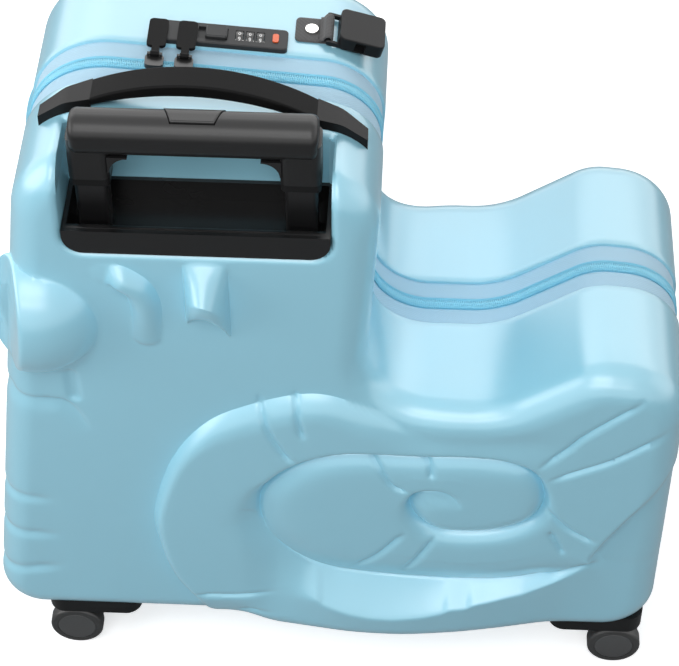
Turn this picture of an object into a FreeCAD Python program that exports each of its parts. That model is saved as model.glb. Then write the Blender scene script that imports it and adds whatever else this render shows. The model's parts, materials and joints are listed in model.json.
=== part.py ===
"""Ride-on suitcase: two moulded half shells with a zip, trolley, lock, carry handle and casters.

Millimetres. The face looks along -X, the trolley side is -Y, +Z is up and the floor is z 0.
"""
import FreeCAD, Part
import math
import os

V = FreeCAD.Vector

# Side outline of the body
body_front_x = -247.8
body_rear_x = 244.0
body_bottom = 46.0
head_lean = 55.8
head_length = 285.8
head_front_x = body_front_x + head_lean
head_front_z = 509.5
head_rear_x = body_front_x + head_length
head_rear_z = 491.5
tower_lean = 12.0
seat_front_x = head_rear_x - tower_lean
seat_z = 292.0
hump_front_z = 336.0
hump_rear_z = 330.0
foot_radius = 32.0
brow_radius = 55.0
crown_radius = 44.0
seat_front_radius = 42.0
tail_radius = 38.0

# Seat and hump, as shares of the length behind the head
tail_length = body_rear_x - head_rear_x
seat_rear_x = head_rear_x + 0.3835 * tail_length
hump_front_x = head_rear_x + 0.6893 * tail_length
seat_rear_radius = 0.29 * tail_length
hump_front_radius = 0.185 * tail_length
hump_rear_radius = 0.218 * tail_length

# Place of the trolley on the head, from which the other fittings are set out
trolley_back = 167.8
trolley_x = body_front_x + trolley_back

# Half shells
half_depth = 102.0
rim_y = 20.0
wall = 3.0
edge_radius = 22.0

# Raised whorl on each side, its spiral groove and its lower lip
whorl_height = 8.0
whorl_round = 7.0
whorl_inset = 20.0
whorl_lower_inset = 9.0
whorl_rear_inset = 10.0
whorl_front_run = 51.0
whorl_front_x = trolley_x - whorl_front_run
whorl_front_z = 160.0
whorl_start_x = trolley_x
whorl_top_run = 20.0
whorl_top_x = trolley_x - whorl_top_run
whorl_top_z = 300.0
whorl_front_radius = 140.0
whorl_top_radius = 70.0
whorl_shoulder_rise = 12.0
whorl_shoulder_radius = 35.0
whorl_seat_front = 28.0
whorl_seat_rear = 4.0
spiral_start_share = 0.867
spiral_start_z = 136.0
spiral_front_shares = (0.221, 0.509)
spiral_rear_shares = (0.768, 0.6)
outer_turn_low_z = 102.0
outer_turn_high_z = 247.0
inner_turn_low_z = 160.0
inner_turn_high_z = 212.0
spiral_groove_radius = 5.0
spiral_groove_depth = 4.0
lip_radius = 13.0
lip_reach = 15.0
lip_shares = (0.213, 0.504, 0.859)
lip_front_z = 126.0
lip_low_z = 72.0
lip_rear_z = 138.0
lip_end_sink = 9.0

# Eye, feeler ridges, mouth and belly grooves
eye_radius = 44.0
eye_back = 13.2
eye_z = 358.0
eye_proud = 22.0
eye_flat = 12.0
eye_turn = 16.0
eye_tilt = 10.0
dome_radius = 50.0
dome_proud = 20.0
dome_back = 15.3
dome_z = 368.0
ridge_radius = 10.0
ridge_proud = 8.0
ridge_run = 35.0
ridge_x = trolley_x - ridge_run
ridge_top_z = 415.0
ridge_low_z = 357.0
ridge_bend = 28.0
stub_radius = 13.5
stub_proud = 2.0
stub_run = 5.0
stub_x = trolley_x + stub_run
stub_top_z = 424.0
stub_length = 42.0
stub_lean = 18.0
groove_radius = 3.5
groove_depth = 1.8
mouth_z = 291.0
mouth_reach = 50.3
mouth_bend = 20.0
mouth_drop = 22.0
belly_groove_reach = 45.0
belly_groove_z = 99.0
belly_groove_pitch = 41.0
belly_groove_count = 3

# Zip
tape_sunk = 1.2
tape_thick = 1.4
coil_width = 4.6
coil_sunk = 0.4
coil_thick = 3.0
coil_gap = 0.4
hinge_gap = 2.0
hinge_end_inset = 50.0
coil_end_inset = 20.0
slider_run = 33.0
slider_front_x = trolley_x - slider_run
slider_pitch = 19.0
slider_length = 12.0
slider_width = 11.0
slider_thick = 3.2
slider_gap = 0.3
slider_corner = 3.0
bail_radius = 1.1
bail_y = 5.0
bail_lift = 1.9
bail_half = 3.2
bail_post = 1.6
pull_eye_radius = 1.9
pull_width = 12.4
pull_neck = 5.0
pull_thick = 2.2
pull_neck_length = 9.0
pull_length = 34.0
pull_lap = 2.0
pull_corner = 3.0
pull_side_gap = 0.3
pull_bore_gap = 0.2

# Combination lock on the far half
lock_x = trolley_x + 6.0
lock_length = 90.0
lock_width = 20.0
lock_plate = 3.6
lock_corner = 3.0
lock_edge = 1.0
lock_side_gap = 0.8
lock_body_length = 56.0
lock_body_x = 12.0
lock_body_width = 14.0
lock_body_deep = 13.0
lock_body_gap = 0.4
dial_radius = 6.6
dial_width = 4.6
dial_gap = 0.4
dial_proud = 1.6
dial_first_x = 13.5
dial_pitch = 6.8
dial_axle_radius = 1.5
dial_axle_end = 2.0
dial_digits = 10
dial_notch = 0.9
dial_notch_out = 0.5
lock_button_x = -1.5
lock_button_length = 14.0
lock_button_width = 11.0
lock_button_travel = 4.5
lock_button_proud = 2.6
lock_pocket_deep = 2.0
lock_button_gap = 0.3
lock_button_corner = 1.6
indicator_x = 37.0
indicator_length = 4.0
indicator_width = 8.0
indicator_proud = 0.8
indicator_deep = 1.0
indicator_corner = 1.5

# Trolley
trolley_sunk = 25.0
trolley_y = trolley_sunk - half_depth
grip_length = 154.0
leg_inset = 11.0
leg_spacing = grip_length - 2 * leg_inset
outer_tube_length = 24.0
outer_tube_depth = 18.0
tube_wall = 1.2
tube_gap = 0.4
tube_corner = 4.0
tray_margin = 0.5
pocket_room = 39.0
pocket_width = leg_spacing + pocket_room
pocket_deep = 78.0
pocket_floor = head_front_z - pocket_deep
pocket_reach = 52.0
pocket_back = half_depth - pocket_reach
pocket_corner = 14.0
tray_floor_z = pocket_floor + tray_margin
tray_high = 19.0
tray_thick = 3.0
tray_lip_radius = 5.0
collar_lift = 44.0
collar_z = tray_floor_z + collar_lift
collar_height = 6.0
collar_rim = 2.2
stage_gap = 0.3
grip_depth = 26.0
grip_height = 28.5
grip_gap = 17.2
grip_top = collar_z + collar_height + stage_gap + grip_gap + grip_height
grip_round = 12.0
grip_end_round = 5.0
grip_leg_length = 26.0
grip_leg_depth = 22.0
grip_leg_round = 5.0
grip_throat = 0.68 * grip_gap
button_back = 40.0
button_front = 27.0
button_high = 8.0
button_proud = 0.8
button_deep = 19.0
button_edge = 1.2
button_gap = 0.4
button_travel = 4.0
rod_radius = 2.0
rod_length = 300.0
bridge_high = 5.0
bridge_lift = 1.5
bridge_thick = 6.0
spring_span = 44.0
spring_thick = 0.6
spring_width = 5.0
spring_high = 8.4
spring_gap = 0.3
foot_length = 31.0
foot_depth = 26.0
foot_high = 16.0
foot_floor = 4.0
foot_corner = 4.0
middle_lift = 6.0
inner_lift = 12.0

# Carry handle
carry_forward = 3.0
carry_y = -(rim_y + pocket_back) / 2 - carry_forward
carry_width = (pocket_back - rim_y) / 1.5
carry_front_run = 68.0
carry_front_seam = trolley_x - carry_front_run
carry_rear_run = 74.0
carry_rear_seam = trolley_x + carry_rear_run
carry_front_mount = 34.0
carry_front_x = carry_front_seam - carry_front_mount
carry_rear_mount = 32.0
carry_rear_x = carry_rear_seam + carry_rear_mount
carry_peak_x = trolley_x
carry_peak_z = 526.0
carry_thick = 10.5
carry_seam_high = 7.5
carry_tip_high = 8.0
carry_tip_width = 0.55 * carry_width
carry_round = 0.08 * carry_width
carry_roll = 0.22 * carry_width
carry_crease = 1.0
carry_crease_drop = 4.6
carry_screw_inset = 14.0
carry_gap = 0.3
carry_screw_deep = 9.6

# Strap and buckle half on the far half
strap_back = 55.0
strap_x = trolley_x + strap_back
strap_y = 46.0
strap_width = 25.0
strap_thick = 1.6
strap_run = 22.0
strap_ring_radius = 3.4
rivet_radius = 4.6
rivet_shank = 2.0
rivet_head = 1.4
rivet_round = 0.9
rivet_back = 1.2
rivet_x = strap_x + 11.0
buckle_bar = 1.5
buckle_bar_gap = 0.3
buckle_width = 31.0
buckle_length = 30.0
buckle_thick = 9.6
buckle_slot = 3.0
buckle_below = 2.0
buckle_side = 0.5
buckle_skin = 1.6
buckle_corner = 4.0
buckle_tilt = 11.5
buckle_window_length = 7.0
buckle_window_inset = 12.0

# Casters
caster_leg_gap = 2.5
caster_rear_inset = 41.0
caster_side_inset = 24.0
caster_y = half_depth - caster_side_inset
wheel_radius = 20.0
wheel_width = 12.0
wheel_round = 2.5
wheel_gap = 0.5
fork_width = 12.0
fork_inside = 1.2
neck_share = 0.8
neck_corner = 3.0
caster_trail = 16.0
axle_radius = 3.0
axle_gap = 0.1
hub_radius = 14.5
hub_deep = 1.6
swivel_radius = 16.0
swivel_thick = 2.0
swivel_gap = 0.5
stem_radius = 5.0
stem_gap = 0.1
stem_high = 66.0
ring_radius = 7.0
ring_thick = 1.5
housing_radius = 11.0
housing_high = 60.0
housing_gap = 0.3
plate_half_length = 35.0
plate_outer = 21.0
plate_inner = 30.0
plate_thick = 3.0
plate_tall = 16.0
plate_corner = 12.0
screw_radius = 1.6
screw_head_radius = 3.4
screw_head_high = 2.0
screw_gap = 0.2
screw_bite = 2.0
caster_screw_inset = 24.0
caster_screw_pitch = 20.0

tiny = 1e-6
over = 1.0
run_share = 0.49
beyond = 60.0

outline = [
    (body_front_x, body_bottom, foot_radius),
    (head_front_x, head_front_z, brow_radius),
    (head_rear_x, head_rear_z, crown_radius),
    (seat_front_x, seat_z, seat_front_radius),
    (seat_rear_x, seat_z, seat_rear_radius),
    (hump_front_x, hump_front_z, hump_front_radius),
    (body_rear_x, hump_rear_z, hump_rear_radius),
    (body_rear_x, body_bottom, tail_radius),
]
top_slope = math.atan2(head_front_z - head_rear_z, head_rear_x - head_front_x)
front_lean = (head_front_x - body_front_x) / (head_front_z - body_bottom)


def direction(start, end):
    """Unit direction from one plane point to another."""
    dx = end[0] - start[0]
    dy = end[1] - start[1]
    length = math.hypot(dx, dy)
    return dx / length, dy / length


def corner_arc(before, here, after):
    """Start, middle and end of the tangent arc at one corner of an outline."""
    if here[2] < tiny:
        return here[:2], here[:2], here[:2]
    ax, ay = direction(here, before)
    bx, by = direction(here, after)
    half = math.acos(ax * bx + ay * by) / 2
    reach = here[2] / math.tan(half)
    away = here[2] / math.sin(half) - here[2]
    mx, my = direction((0, 0), (ax + bx, ay + by))
    start = (here[0] + ax * reach, here[1] + ay * reach)
    middle = (here[0] + mx * away, here[1] + my * away)
    end = (here[0] + bx * reach, here[1] + by * reach)
    return start, middle, end


def rounded_wire(corners, place):
    """Closed wire of straight runs and tangent arcs through (u, v, radius) corners."""
    count = len(corners)
    arcs = [corner_arc(corners[i - 1], corners[i], corners[(i + 1) % count]) for i in range(count)]
    edges = []
    for i, (start, middle, end) in enumerate(arcs):
        if math.dist(start, end) > tiny:
            edges.append(Part.Arc(place(*start), place(*middle), place(*end)).toShape())
        following = arcs[(i + 1) % count][0]
        if math.dist(end, following) > tiny:
            edges.append(Part.LineSegment(place(*end), place(*following)).toShape())
    return Part.Wire(edges)


def rounded_path(points, place):
    """Open path of straight runs joined by the largest tangent arcs that half of each run allows."""
    last = len(points) - 1
    here = points[0]
    edges = []
    for i in range(1, last):
        before, corner, after = points[i - 1:i + 2]
        ax, ay = direction(corner, before)
        bx, by = direction(corner, after)
        half = math.acos(ax * bx + ay * by) / 2
        room = min(math.dist(before, corner), math.dist(corner, after)) * run_share
        start, middle, end = corner_arc(before, (*corner, room * math.tan(half)), after)
        edges.append(Part.LineSegment(place(*here), place(*start)).toShape())
        edges.append(Part.Arc(place(*start), place(*middle), place(*end)).toShape())
        here = end
    edges.append(Part.LineSegment(place(*here), place(*points[last])).toShape())
    return edges


def inset(corners, step):
    """The same rounded outline moved inwards by step all round."""
    count = len(corners)
    area = sum(corners[i - 1][0] * corners[i][1] - corners[i][0] * corners[i - 1][1] for i in range(count))
    side = math.copysign(1.0, area)
    moved = []
    for i in range(count):
        ax, ay = direction(corners[i - 1], corners[i])
        bx, by = direction(corners[i], corners[(i + 1) % count])
        reach = step * side / (1 + ax * bx + ay * by)
        convex = (ax * by - ay * bx) * side > 0
        radius = corners[i][2] - step if convex else corners[i][2] + step
        x = corners[i][0] - (ay + by) * reach
        y = corners[i][1] + (ax + bx) * reach
        moved.append((x, y, max(radius, 0.0)))
    return moved


def slab(corners, y_from, y_to):
    """Solid of an outline in the X-Z plane between two Y planes."""
    wire = rounded_wire(corners, lambda x, z: V(x, y_from, z))
    return Part.Face(wire).extrude(V(0, y_to - y_from, 0))


def column(corners, z_from, z_to):
    """Solid of an outline in the X-Y plane between two heights."""
    wire = rounded_wire(corners, lambda x, y: V(x, y, z_from))
    return Part.Face(wire).extrude(V(0, 0, z_to - z_from))


def rectangle(x, y, length, width, radius=0.0):
    """Corners of a rounded rectangle about a centre."""
    dx = length / 2
    dy = width / 2
    signs = ((-1, -1), (1, -1), (1, 1), (-1, 1))
    return [(x + a * dx, y + b * dy, radius) for a, b in signs]


def bar_x(x_from, x_to, y, z, depth, height, radius):
    """Bar along X with a rounded rectangular section about a centre."""
    wire = rounded_wire(rectangle(y, z, depth, height, radius), lambda a, b: V(x_from, a, b))
    return Part.Face(wire).extrude(V(x_to - x_from, 0, 0))


def edges_on(shape, axis, value):
    """Edges that lie in the plane where one coordinate has a value."""
    return [e for e in shape.Edges if all(abs(getattr(v.Point, axis) - value) < 1e-4 for v in e.Vertexes)]


def tube(path_edges, radius):
    """Round bar along a path of tangent edges."""
    path = Part.Wire(path_edges)
    start = path_edges[0].valueAt(path_edges[0].FirstParameter)
    tangent = path_edges[0].tangentAt(path_edges[0].FirstParameter)
    ring = Part.Wire(Part.makeCircle(radius, start, tangent))
    return path.makePipeShell([ring], True, False)


def mirrored(shape):
    """The same piece on the far half."""
    return shape.mirror(V(0, 0, 0), V(0, 1, 0))


def top_z(x):
    """Height of the flat top of the head."""
    return head_front_z - (x - head_front_x) * math.tan(top_slope)


def on_top(shape, x):
    """Set a piece drawn flat at the origin on the sloping top of the head."""
    turn = FreeCAD.Rotation(V(0, 1, 0), math.degrees(top_slope))
    placed = shape.copy()
    placed.Placement = FreeCAD.Placement(V(x, 0, top_z(x)), turn).multiply(placed.Placement)
    return placed


def front_x(z):
    """Front face of the body at a height."""
    return body_front_x + (z - body_bottom) * front_lean


def half_block(step=0.0):
    """Plain solid of the near half, moved inwards by step on its outside."""
    block = slab(inset(outline, step), -rim_y, -(half_depth - step))
    return block.makeFillet(edge_radius - step, edges_on(block, "y", -(half_depth - step)))


def whorl_corners():
    """Outline of the raised whorl on the side."""
    rear = body_rear_x - whorl_rear_inset
    low = body_bottom + whorl_lower_inset
    seat = seat_z - whorl_inset
    return [
        (whorl_start_x, low, foot_radius / 2),
        (whorl_front_x, whorl_front_z, whorl_front_radius),
        (whorl_top_x, whorl_top_z, whorl_top_radius),
        (seat_front_x, whorl_top_z + whorl_shoulder_rise, whorl_shoulder_radius),
        (seat_front_x + whorl_seat_front, seat, seat_front_radius),
        (seat_rear_x - whorl_seat_rear, seat, seat_rear_radius),
        (hump_front_x, hump_front_z - whorl_inset, hump_front_radius),
        (rear, hump_rear_z - whorl_inset, hump_rear_radius - whorl_rear_inset),
        (rear, low, tail_radius - whorl_rear_inset),
    ]


def along_whorl(share):
    """Place along the whorl, from its front edge to the rear of the body."""
    return whorl_front_x + share * (body_rear_x - whorl_front_x)


def whorl():
    """Raised whorl with a rounded edge and a swelling lower lip."""
    face_y = -(half_depth + whorl_height)
    pad = slab(whorl_corners(), -(half_depth - edge_radius), face_y)
    pad = pad.makeFillet(whorl_round, edges_on(pad, "y", face_y))
    lip_y = -(half_depth + lip_reach - lip_radius)
    end_y = lip_y + lip_end_sink
    front_x, low_x, rear_x = [along_whorl(share) for share in lip_shares]
    ends = V(front_x, end_y, lip_front_z), V(rear_x, end_y, lip_rear_z)
    lip = tube([Part.Arc(ends[0], V(low_x, lip_y, lip_low_z), ends[1]).toShape()], lip_radius)
    balls = [Part.makeSphere(lip_radius, end) for end in ends]
    return pad.fuse([lip] + balls)


def spiral_groove():
    """Round cutter along the spiral: runs that close in, joined by the largest arcs that they allow."""
    y = -(half_depth + whorl_height - spiral_groove_depth + spiral_groove_radius)
    front = [along_whorl(share) for share in spiral_front_shares]
    rear = [along_whorl(share) for share in spiral_rear_shares]
    points = [
        (along_whorl(spiral_start_share), spiral_start_z),
        (front[0], outer_turn_low_z),
        (front[0], outer_turn_high_z),
        (rear[0], outer_turn_high_z),
        (rear[0], inner_turn_low_z),
        (front[1], inner_turn_low_z),
        (front[1], inner_turn_high_z),
        (rear[1], inner_turn_high_z),
    ]
    edges = rounded_path(points, lambda x, z: V(x, y, z))
    ends = [V(x, y, z) for x, z in (points[0], points[-1])]
    return [tube(edges, spiral_groove_radius)] + [Part.makeSphere(spiral_groove_radius, end) for end in ends]


def eye(step=0.0):
    """Bulging eye at the front corner: a ball on a wide dome with a flat front, moved inwards by step."""
    centre = V(front_x(eye_z) + eye_back, -(half_depth + eye_proud - eye_radius), eye_z)
    turn = math.radians(eye_turn)
    tilt = math.radians(eye_tilt)
    look = V(-math.cos(turn) * math.cos(tilt), -math.sin(turn) * math.cos(tilt), math.sin(tilt))
    ball = Part.makeSphere(eye_radius - step, centre)
    dome_ball = (dome_radius ** 2 + dome_proud ** 2) / (2 * dome_proud)
    dome_centre = V(front_x(dome_z) + dome_back, -(half_depth + dome_proud - dome_ball), dome_z)
    dome = Part.makeSphere(dome_ball - step, dome_centre)
    side = slab(inset(outline, step), edge_radius - half_depth, -(half_depth + dome_proud))
    size = 4 * dome_ball
    plane = Part.makeCylinder(size, size, centre + look * (eye_flat - step), look)
    half = Part.makeBox(size, size, size, dome_centre - V(size / 2, dome_centre.y + rim_y + size, size / 2))
    return ball.fuse(dome.common(side)).cut(plane).common(half)


def ridges():
    """Bent feeler ridge and the short stub behind it, which leans out towards its cut end."""
    y = -(half_depth + ridge_proud - ridge_radius)
    start = V(ridge_x - ridge_bend, y, ridge_top_z)
    middle = V(ridge_x - ridge_bend * (1 - math.sin(math.pi / 4)), y,
               ridge_top_z - ridge_bend * (1 - math.cos(math.pi / 4)))
    bend = V(ridge_x, y, ridge_top_z - ridge_bend)
    end = V(ridge_x, y, ridge_low_z)
    path = [Part.Arc(start, middle, bend).toShape(), Part.LineSegment(bend, end).toShape()]
    hook = tube(path, ridge_radius)
    pieces = [hook, Part.makeSphere(ridge_radius, start), Part.makeSphere(ridge_radius, end)]
    lean = math.radians(stub_lean)
    stub_top = V(stub_x, -(half_depth + stub_proud - stub_radius), stub_top_z)
    pieces.append(Part.makeCylinder(stub_radius, stub_length, stub_top, V(0, -math.sin(lean), -math.cos(lean))))
    return pieces


def front_groove(z, reach, bend, drop):
    """Round cutter across the front, round the corner and along the side, with an optional turn down."""
    out = groove_radius - groove_depth
    radius = edge_radius + out
    face_x = front_x(z) - out
    side_y = -(half_depth + out)
    centre = V(face_x + radius, side_y + radius, z)
    start = V(face_x, -rim_y - 2 * groove_radius, z)
    corner = V(face_x, centre.y, z)
    middle = centre + V(-1, -1, 0) * (radius * math.sin(math.pi / 4))
    leave = V(centre.x, side_y, z)
    stop = V(front_x(z) + reach - bend, side_y, z)
    edges = [Part.LineSegment(start, corner).toShape(), Part.Arc(corner, middle, leave).toShape()]
    edges.append(Part.LineSegment(leave, stop).toShape())
    end = stop
    if bend > tiny:
        turn = stop + V(bend * math.sin(math.pi / 4), 0, -bend * (1 - math.cos(math.pi / 4)))
        below = stop + V(bend, 0, -bend)
        end = below - V(0, 0, drop - bend)
        edges.append(Part.Arc(stop, turn, below).toShape())
        edges.append(Part.LineSegment(below, end).toShape())
    return [tube(edges, groove_radius)] + [Part.makeSphere(groove_radius, p) for p in (start, end)]


def pocket(step=0.0):
    """Open-topped pocket for the trolley, grown outwards by step."""
    top = head_front_z + beyond
    dx = pocket_width / 2
    corners = [
        (trolley_x - dx, pocket_floor, pocket_corner),
        (trolley_x + dx, pocket_floor, pocket_corner),
        (trolley_x + dx, top, 0.0),
        (trolley_x - dx, top, 0.0),
    ]
    return slab(inset(corners, -step), -(half_depth + beyond), -(pocket_back - step))


def caster_centres():
    """Swivel axis of each near caster with the way its wheel trails."""
    front = leg_places()[0] - foot_length / 2 - caster_leg_gap - housing_radius
    return [(front, -caster_y, -1), (body_rear_x - caster_rear_inset, -caster_y, 1)]


def moulded_half():
    """Solid half with its relief."""
    body = half_block().fuse([whorl(), eye()] + ridges())
    cutters = spiral_groove() + front_groove(mouth_z, mouth_reach, mouth_bend, mouth_drop)
    for i in range(belly_groove_count):
        cutters += front_groove(belly_groove_z + i * belly_groove_pitch, belly_groove_reach, 0.0, 0.0)
    return body.cut(cutters)


def caster_holes():
    """Cutters through the floor of a half for the caster housings and screws."""
    holes = []
    for x, y, trail in caster_centres():
        low = V(x, y, body_bottom - plate_thick)
        holes.append(Part.makeCylinder(housing_radius + housing_gap, plate_tall + wall, low))
        holes += [Part.makeCylinder(screw_radius + screw_gap, plate_thick + wall + over, V(sx, sy, low.z))
                  for sx, sy in caster_screw_places(x, y, trail)]
    return holes


def caster_screw_places(x, y, trail):
    return [(x - trail * i * caster_screw_pitch, y + caster_screw_inset) for i in range(2)]


def hollow(moulding, cavity):
    """Half shell: the moulding without its inside and the caster holes."""
    return moulding.cut([cavity] + caster_holes())


def inside():
    """Inside space of a half, open at the rim."""
    mouth = slab(inset(outline, wall), -rim_y - over, -rim_y + over)
    back_y = -(half_depth + whorl_height - spiral_groove_depth - wall)
    relief = slab(inset(whorl_corners(), wall + whorl_round), -(half_depth - edge_radius), back_y)
    return half_block(wall).fuse([mouth, relief, eye(wall)])


def near_shell(moulding):
    """Trolley side: its pocket has walls of its own and slots for the carry handle's screws."""
    cavity = inside().cut(pocket(wall))
    shell = hollow(moulding, cavity).cut(pocket())
    holes = [leg_hole(x) for x in leg_places()]
    return shell.cut(holes + carry_screw_holes())


def far_shell(moulding):
    """Far side: no pocket, but an opening for the lock body and a rivet hole."""
    shell = mirrored(hollow(moulding, inside()))
    gap = lock_body_gap
    opening = column(rectangle(lock_body_x, lock_y(), lock_body_length + 2 * gap, lock_body_width + 2 * gap),
                     -wall - beyond / 6, beyond / 6)
    rivet_hole = Part.makeCylinder(rivet_shank, beyond / 3, V(rivet_x - lock_x, strap_y, -beyond / 6))
    return shell.cut([on_top(opening, lock_x), on_top(rivet_hole, lock_x)])


def leg_places():
    return [trolley_x - leg_spacing / 2, trolley_x + leg_spacing / 2]


def leg_hole(x):
    """Opening in the pocket floor for one outer tube."""
    length = outer_tube_length + 2 * tube_gap
    corners = rectangle(x, trolley_y, length, outer_tube_depth + 2 * tube_gap, tube_corner + tube_gap)
    return column(corners, pocket_floor - 2 * wall, tray_floor_z + over)


def ring_band(sunk, thick, y_from, y_to):
    """Band that follows the body outline just under the shell's surface."""
    outer = slab(inset(outline, sunk), y_from, y_to)
    return outer.cut(slab(inset(outline, sunk + thick), y_from, y_to))


def bottom_block(end_inset, y_from, y_to):
    """Space round the bottom run of the rim, short of both ends."""
    start = body_front_x + end_inset
    return Part.makeBox(body_rear_x - end_inset - start, y_to - y_from, 2 * foot_radius,
                        V(start, y_from, body_bottom - foot_radius))


def zip_tape():
    """Woven tape of the near half; along the bottom it runs on to the hinge line."""
    edge = -(coil_gap + coil_width)
    tape = ring_band(tape_sunk, tape_thick, -rim_y, edge)
    hinge = ring_band(tape_sunk, tape_thick, edge, -hinge_gap / 2)
    return tape.fuse(hinge.common(bottom_block(hinge_end_inset, edge, 0.0))).removeSplitter()


def zip_coil():
    """Coil of the near half, open along the hinge run at the bottom."""
    edge = -(coil_gap + coil_width)
    coil = ring_band(coil_sunk, coil_thick, edge, -coil_gap)
    return coil.cut(bottom_block(coil_end_inset, edge - over, 0.0))


def slider_base():
    return slider_thick - coil_sunk + slider_gap


def zip_slider(x):
    """Slider on the coil with a bail on two posts."""
    low = slider_gap - coil_sunk
    body = column(rectangle(0, 0, slider_length, slider_width, slider_corner), low, low + slider_thick)
    bar_z = slider_base() + bail_lift
    bar = Part.makeCylinder(bail_radius, 2 * (bail_half + bail_post),
                            V(-bail_half - bail_post, bail_y - bail_radius, bar_z), V(1, 0, 0))
    pieces = [bar]
    for start in (-bail_half - bail_post, bail_half):
        foot = V(start, bail_y - 2 * bail_radius, slider_base() - over)
        pieces.append(Part.makeBox(bail_post, 2 * bail_radius, bail_lift + over, foot))
    return on_top(body.fuse(pieces).removeSplitter(), x)


def zip_pull(x):
    """Pull tab hinged on the bail, lying across the lock."""
    bar_y = bail_y - bail_radius
    bar_z = slider_base() + bail_lift
    half = bail_half - pull_side_gap
    collar = Part.makeCylinder(pull_eye_radius, 2 * half, V(-half, bar_y, bar_z), V(1, 0, 0))
    low = bar_z - pull_thick / 2
    neck = column(rectangle(0, bar_y + pull_neck_length / 2, pull_neck, pull_neck_length),
                  low, low + pull_thick)
    tab_from = bar_y + pull_neck_length - pull_lap
    tab_to = bar_y + pull_length
    tab = column(rectangle(0, (tab_from + tab_to) / 2, pull_width, tab_to - tab_from, pull_corner),
                 low, low + pull_thick)
    bore = Part.makeCylinder(bail_radius + pull_bore_gap, 4 * half, V(-2 * half, bar_y, bar_z), V(1, 0, 0))
    return on_top(collar.fuse([neck, tab]).cut(bore).removeSplitter(), x)


def lock_y():
    return rim_y + lock_side_gap + lock_width / 2


def dial_places():
    return [dial_first_x + i * dial_pitch for i in range(3)]


def dial_z():
    return lock_plate + dial_proud - dial_radius


def lock_housing():
    """Plate on the shell and body below it, with room for the dials and the button."""
    y = lock_y()
    plate = column(rectangle(0, y, lock_length, lock_width, lock_corner), 0.0, lock_plate)
    plate = plate.makeFillet(lock_edge, edges_on(plate, "z", lock_plate))
    body = column(rectangle(lock_body_x, y, lock_body_length, lock_body_width), -lock_body_deep, over)
    housing = plate.fuse(body)
    cuts = []
    for x in dial_places():
        cuts.append(Part.makeCylinder(dial_radius + dial_gap, dial_width + 2 * dial_gap,
                                      V(x - dial_width / 2 - dial_gap, y, dial_z()), V(1, 0, 0)))
    cuts.append(Part.makeCylinder(dial_axle_radius, axle_length(), V(axle_start(), y, dial_z()), V(1, 0, 0)))
    gap = dial_gap
    length = lock_button_length + lock_button_travel + 2 * gap
    centre = lock_button_x - lock_button_travel / 2
    cuts.append(column(rectangle(centre, y, length, lock_button_width + 2 * gap),
                       lock_plate - lock_pocket_deep, lock_plate + over))
    cuts.append(column(indicator_corners(), lock_plate - indicator_deep, lock_plate + over))
    return on_top(housing.cut(cuts), lock_x)


def indicator_corners():
    return rectangle(indicator_x, lock_y(), indicator_length, indicator_width, indicator_corner)


def axle_start():
    return dial_places()[0] - dial_width / 2 - dial_axle_end


def axle_length():
    return dial_places()[-1] - dial_places()[0] + dial_width + 2 * dial_axle_end


def lock_axle():
    return on_top(Part.makeCylinder(dial_axle_radius, axle_length(), V(axle_start(), lock_y(), dial_z()),
                                    V(1, 0, 0)), lock_x)


def lock_dial(x):
    """Number wheel with ten finger notches."""
    y = lock_y()
    start = V(x - dial_width / 2, y, dial_z())
    dial = Part.makeCylinder(dial_radius, dial_width, start, V(1, 0, 0))
    cuts = [Part.makeCylinder(dial_axle_radius + axle_gap, dial_width, start, V(1, 0, 0))]
    for i in range(dial_digits):
        angle = 2 * math.pi * (i + 0.5) / dial_digits
        notch = start + V(0, math.sin(angle), math.cos(angle)) * (dial_radius + dial_notch_out)
        cuts.append(Part.makeCylinder(dial_notch, dial_width, notch, V(1, 0, 0)))
    return on_top(dial.cut(cuts), lock_x)


def lock_button():
    """Sliding release button with bevelled top."""
    low = lock_plate - lock_pocket_deep + lock_button_gap
    top = lock_plate + lock_button_proud
    block = column(rectangle(lock_button_x, lock_y(), lock_button_length, lock_button_width,
                             lock_button_corner), low, top)
    return on_top(block.makeChamfer(lock_edge, edges_on(block, "z", top)), lock_x)


def lock_indicator():
    low = lock_plate - indicator_deep
    return on_top(column(indicator_corners(), low, lock_plate + indicator_proud), lock_x)


def tube_size(stage):
    """Outer size of a trolley tube; each stage fits inside the one before."""
    step = stage * (tube_wall + tube_gap)
    return outer_tube_length - 2 * step, outer_tube_depth - 2 * step, tube_corner - step / 2


def tube_pair(stage, z_from, z_to):
    """Both tubes of one stage."""
    length, width, corner = tube_size(stage)
    tubes = []
    for x in leg_places():
        outer = column(rectangle(x, trolley_y, length, width, corner), z_from, z_to)
        bore = rectangle(x, trolley_y, length - 2 * tube_wall, width - 2 * tube_wall, corner - tube_wall)
        tubes.append(outer.cut(column(bore, z_from, z_to)))
    return Part.makeCompound(tubes)


def floor_inside():
    return body_bottom + wall


def trolley_feet():
    """Socket under each outer tube, on the floor of the near shell."""
    feet = []
    for x in leg_places():
        block = column(rectangle(x, trolley_y, foot_length, foot_depth, foot_corner), floor_inside(),
                       floor_inside() + foot_high)
        feet.append(block.cut(column(rectangle(x, trolley_y, *tube_size(0)),
                                     floor_inside() + foot_floor, floor_inside() + foot_high)))
    trimmed = [foot.common(half_block(wall)) for foot in feet]
    return Part.makeCompound(trimmed)


def outer_low():
    return floor_inside() + foot_floor


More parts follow.
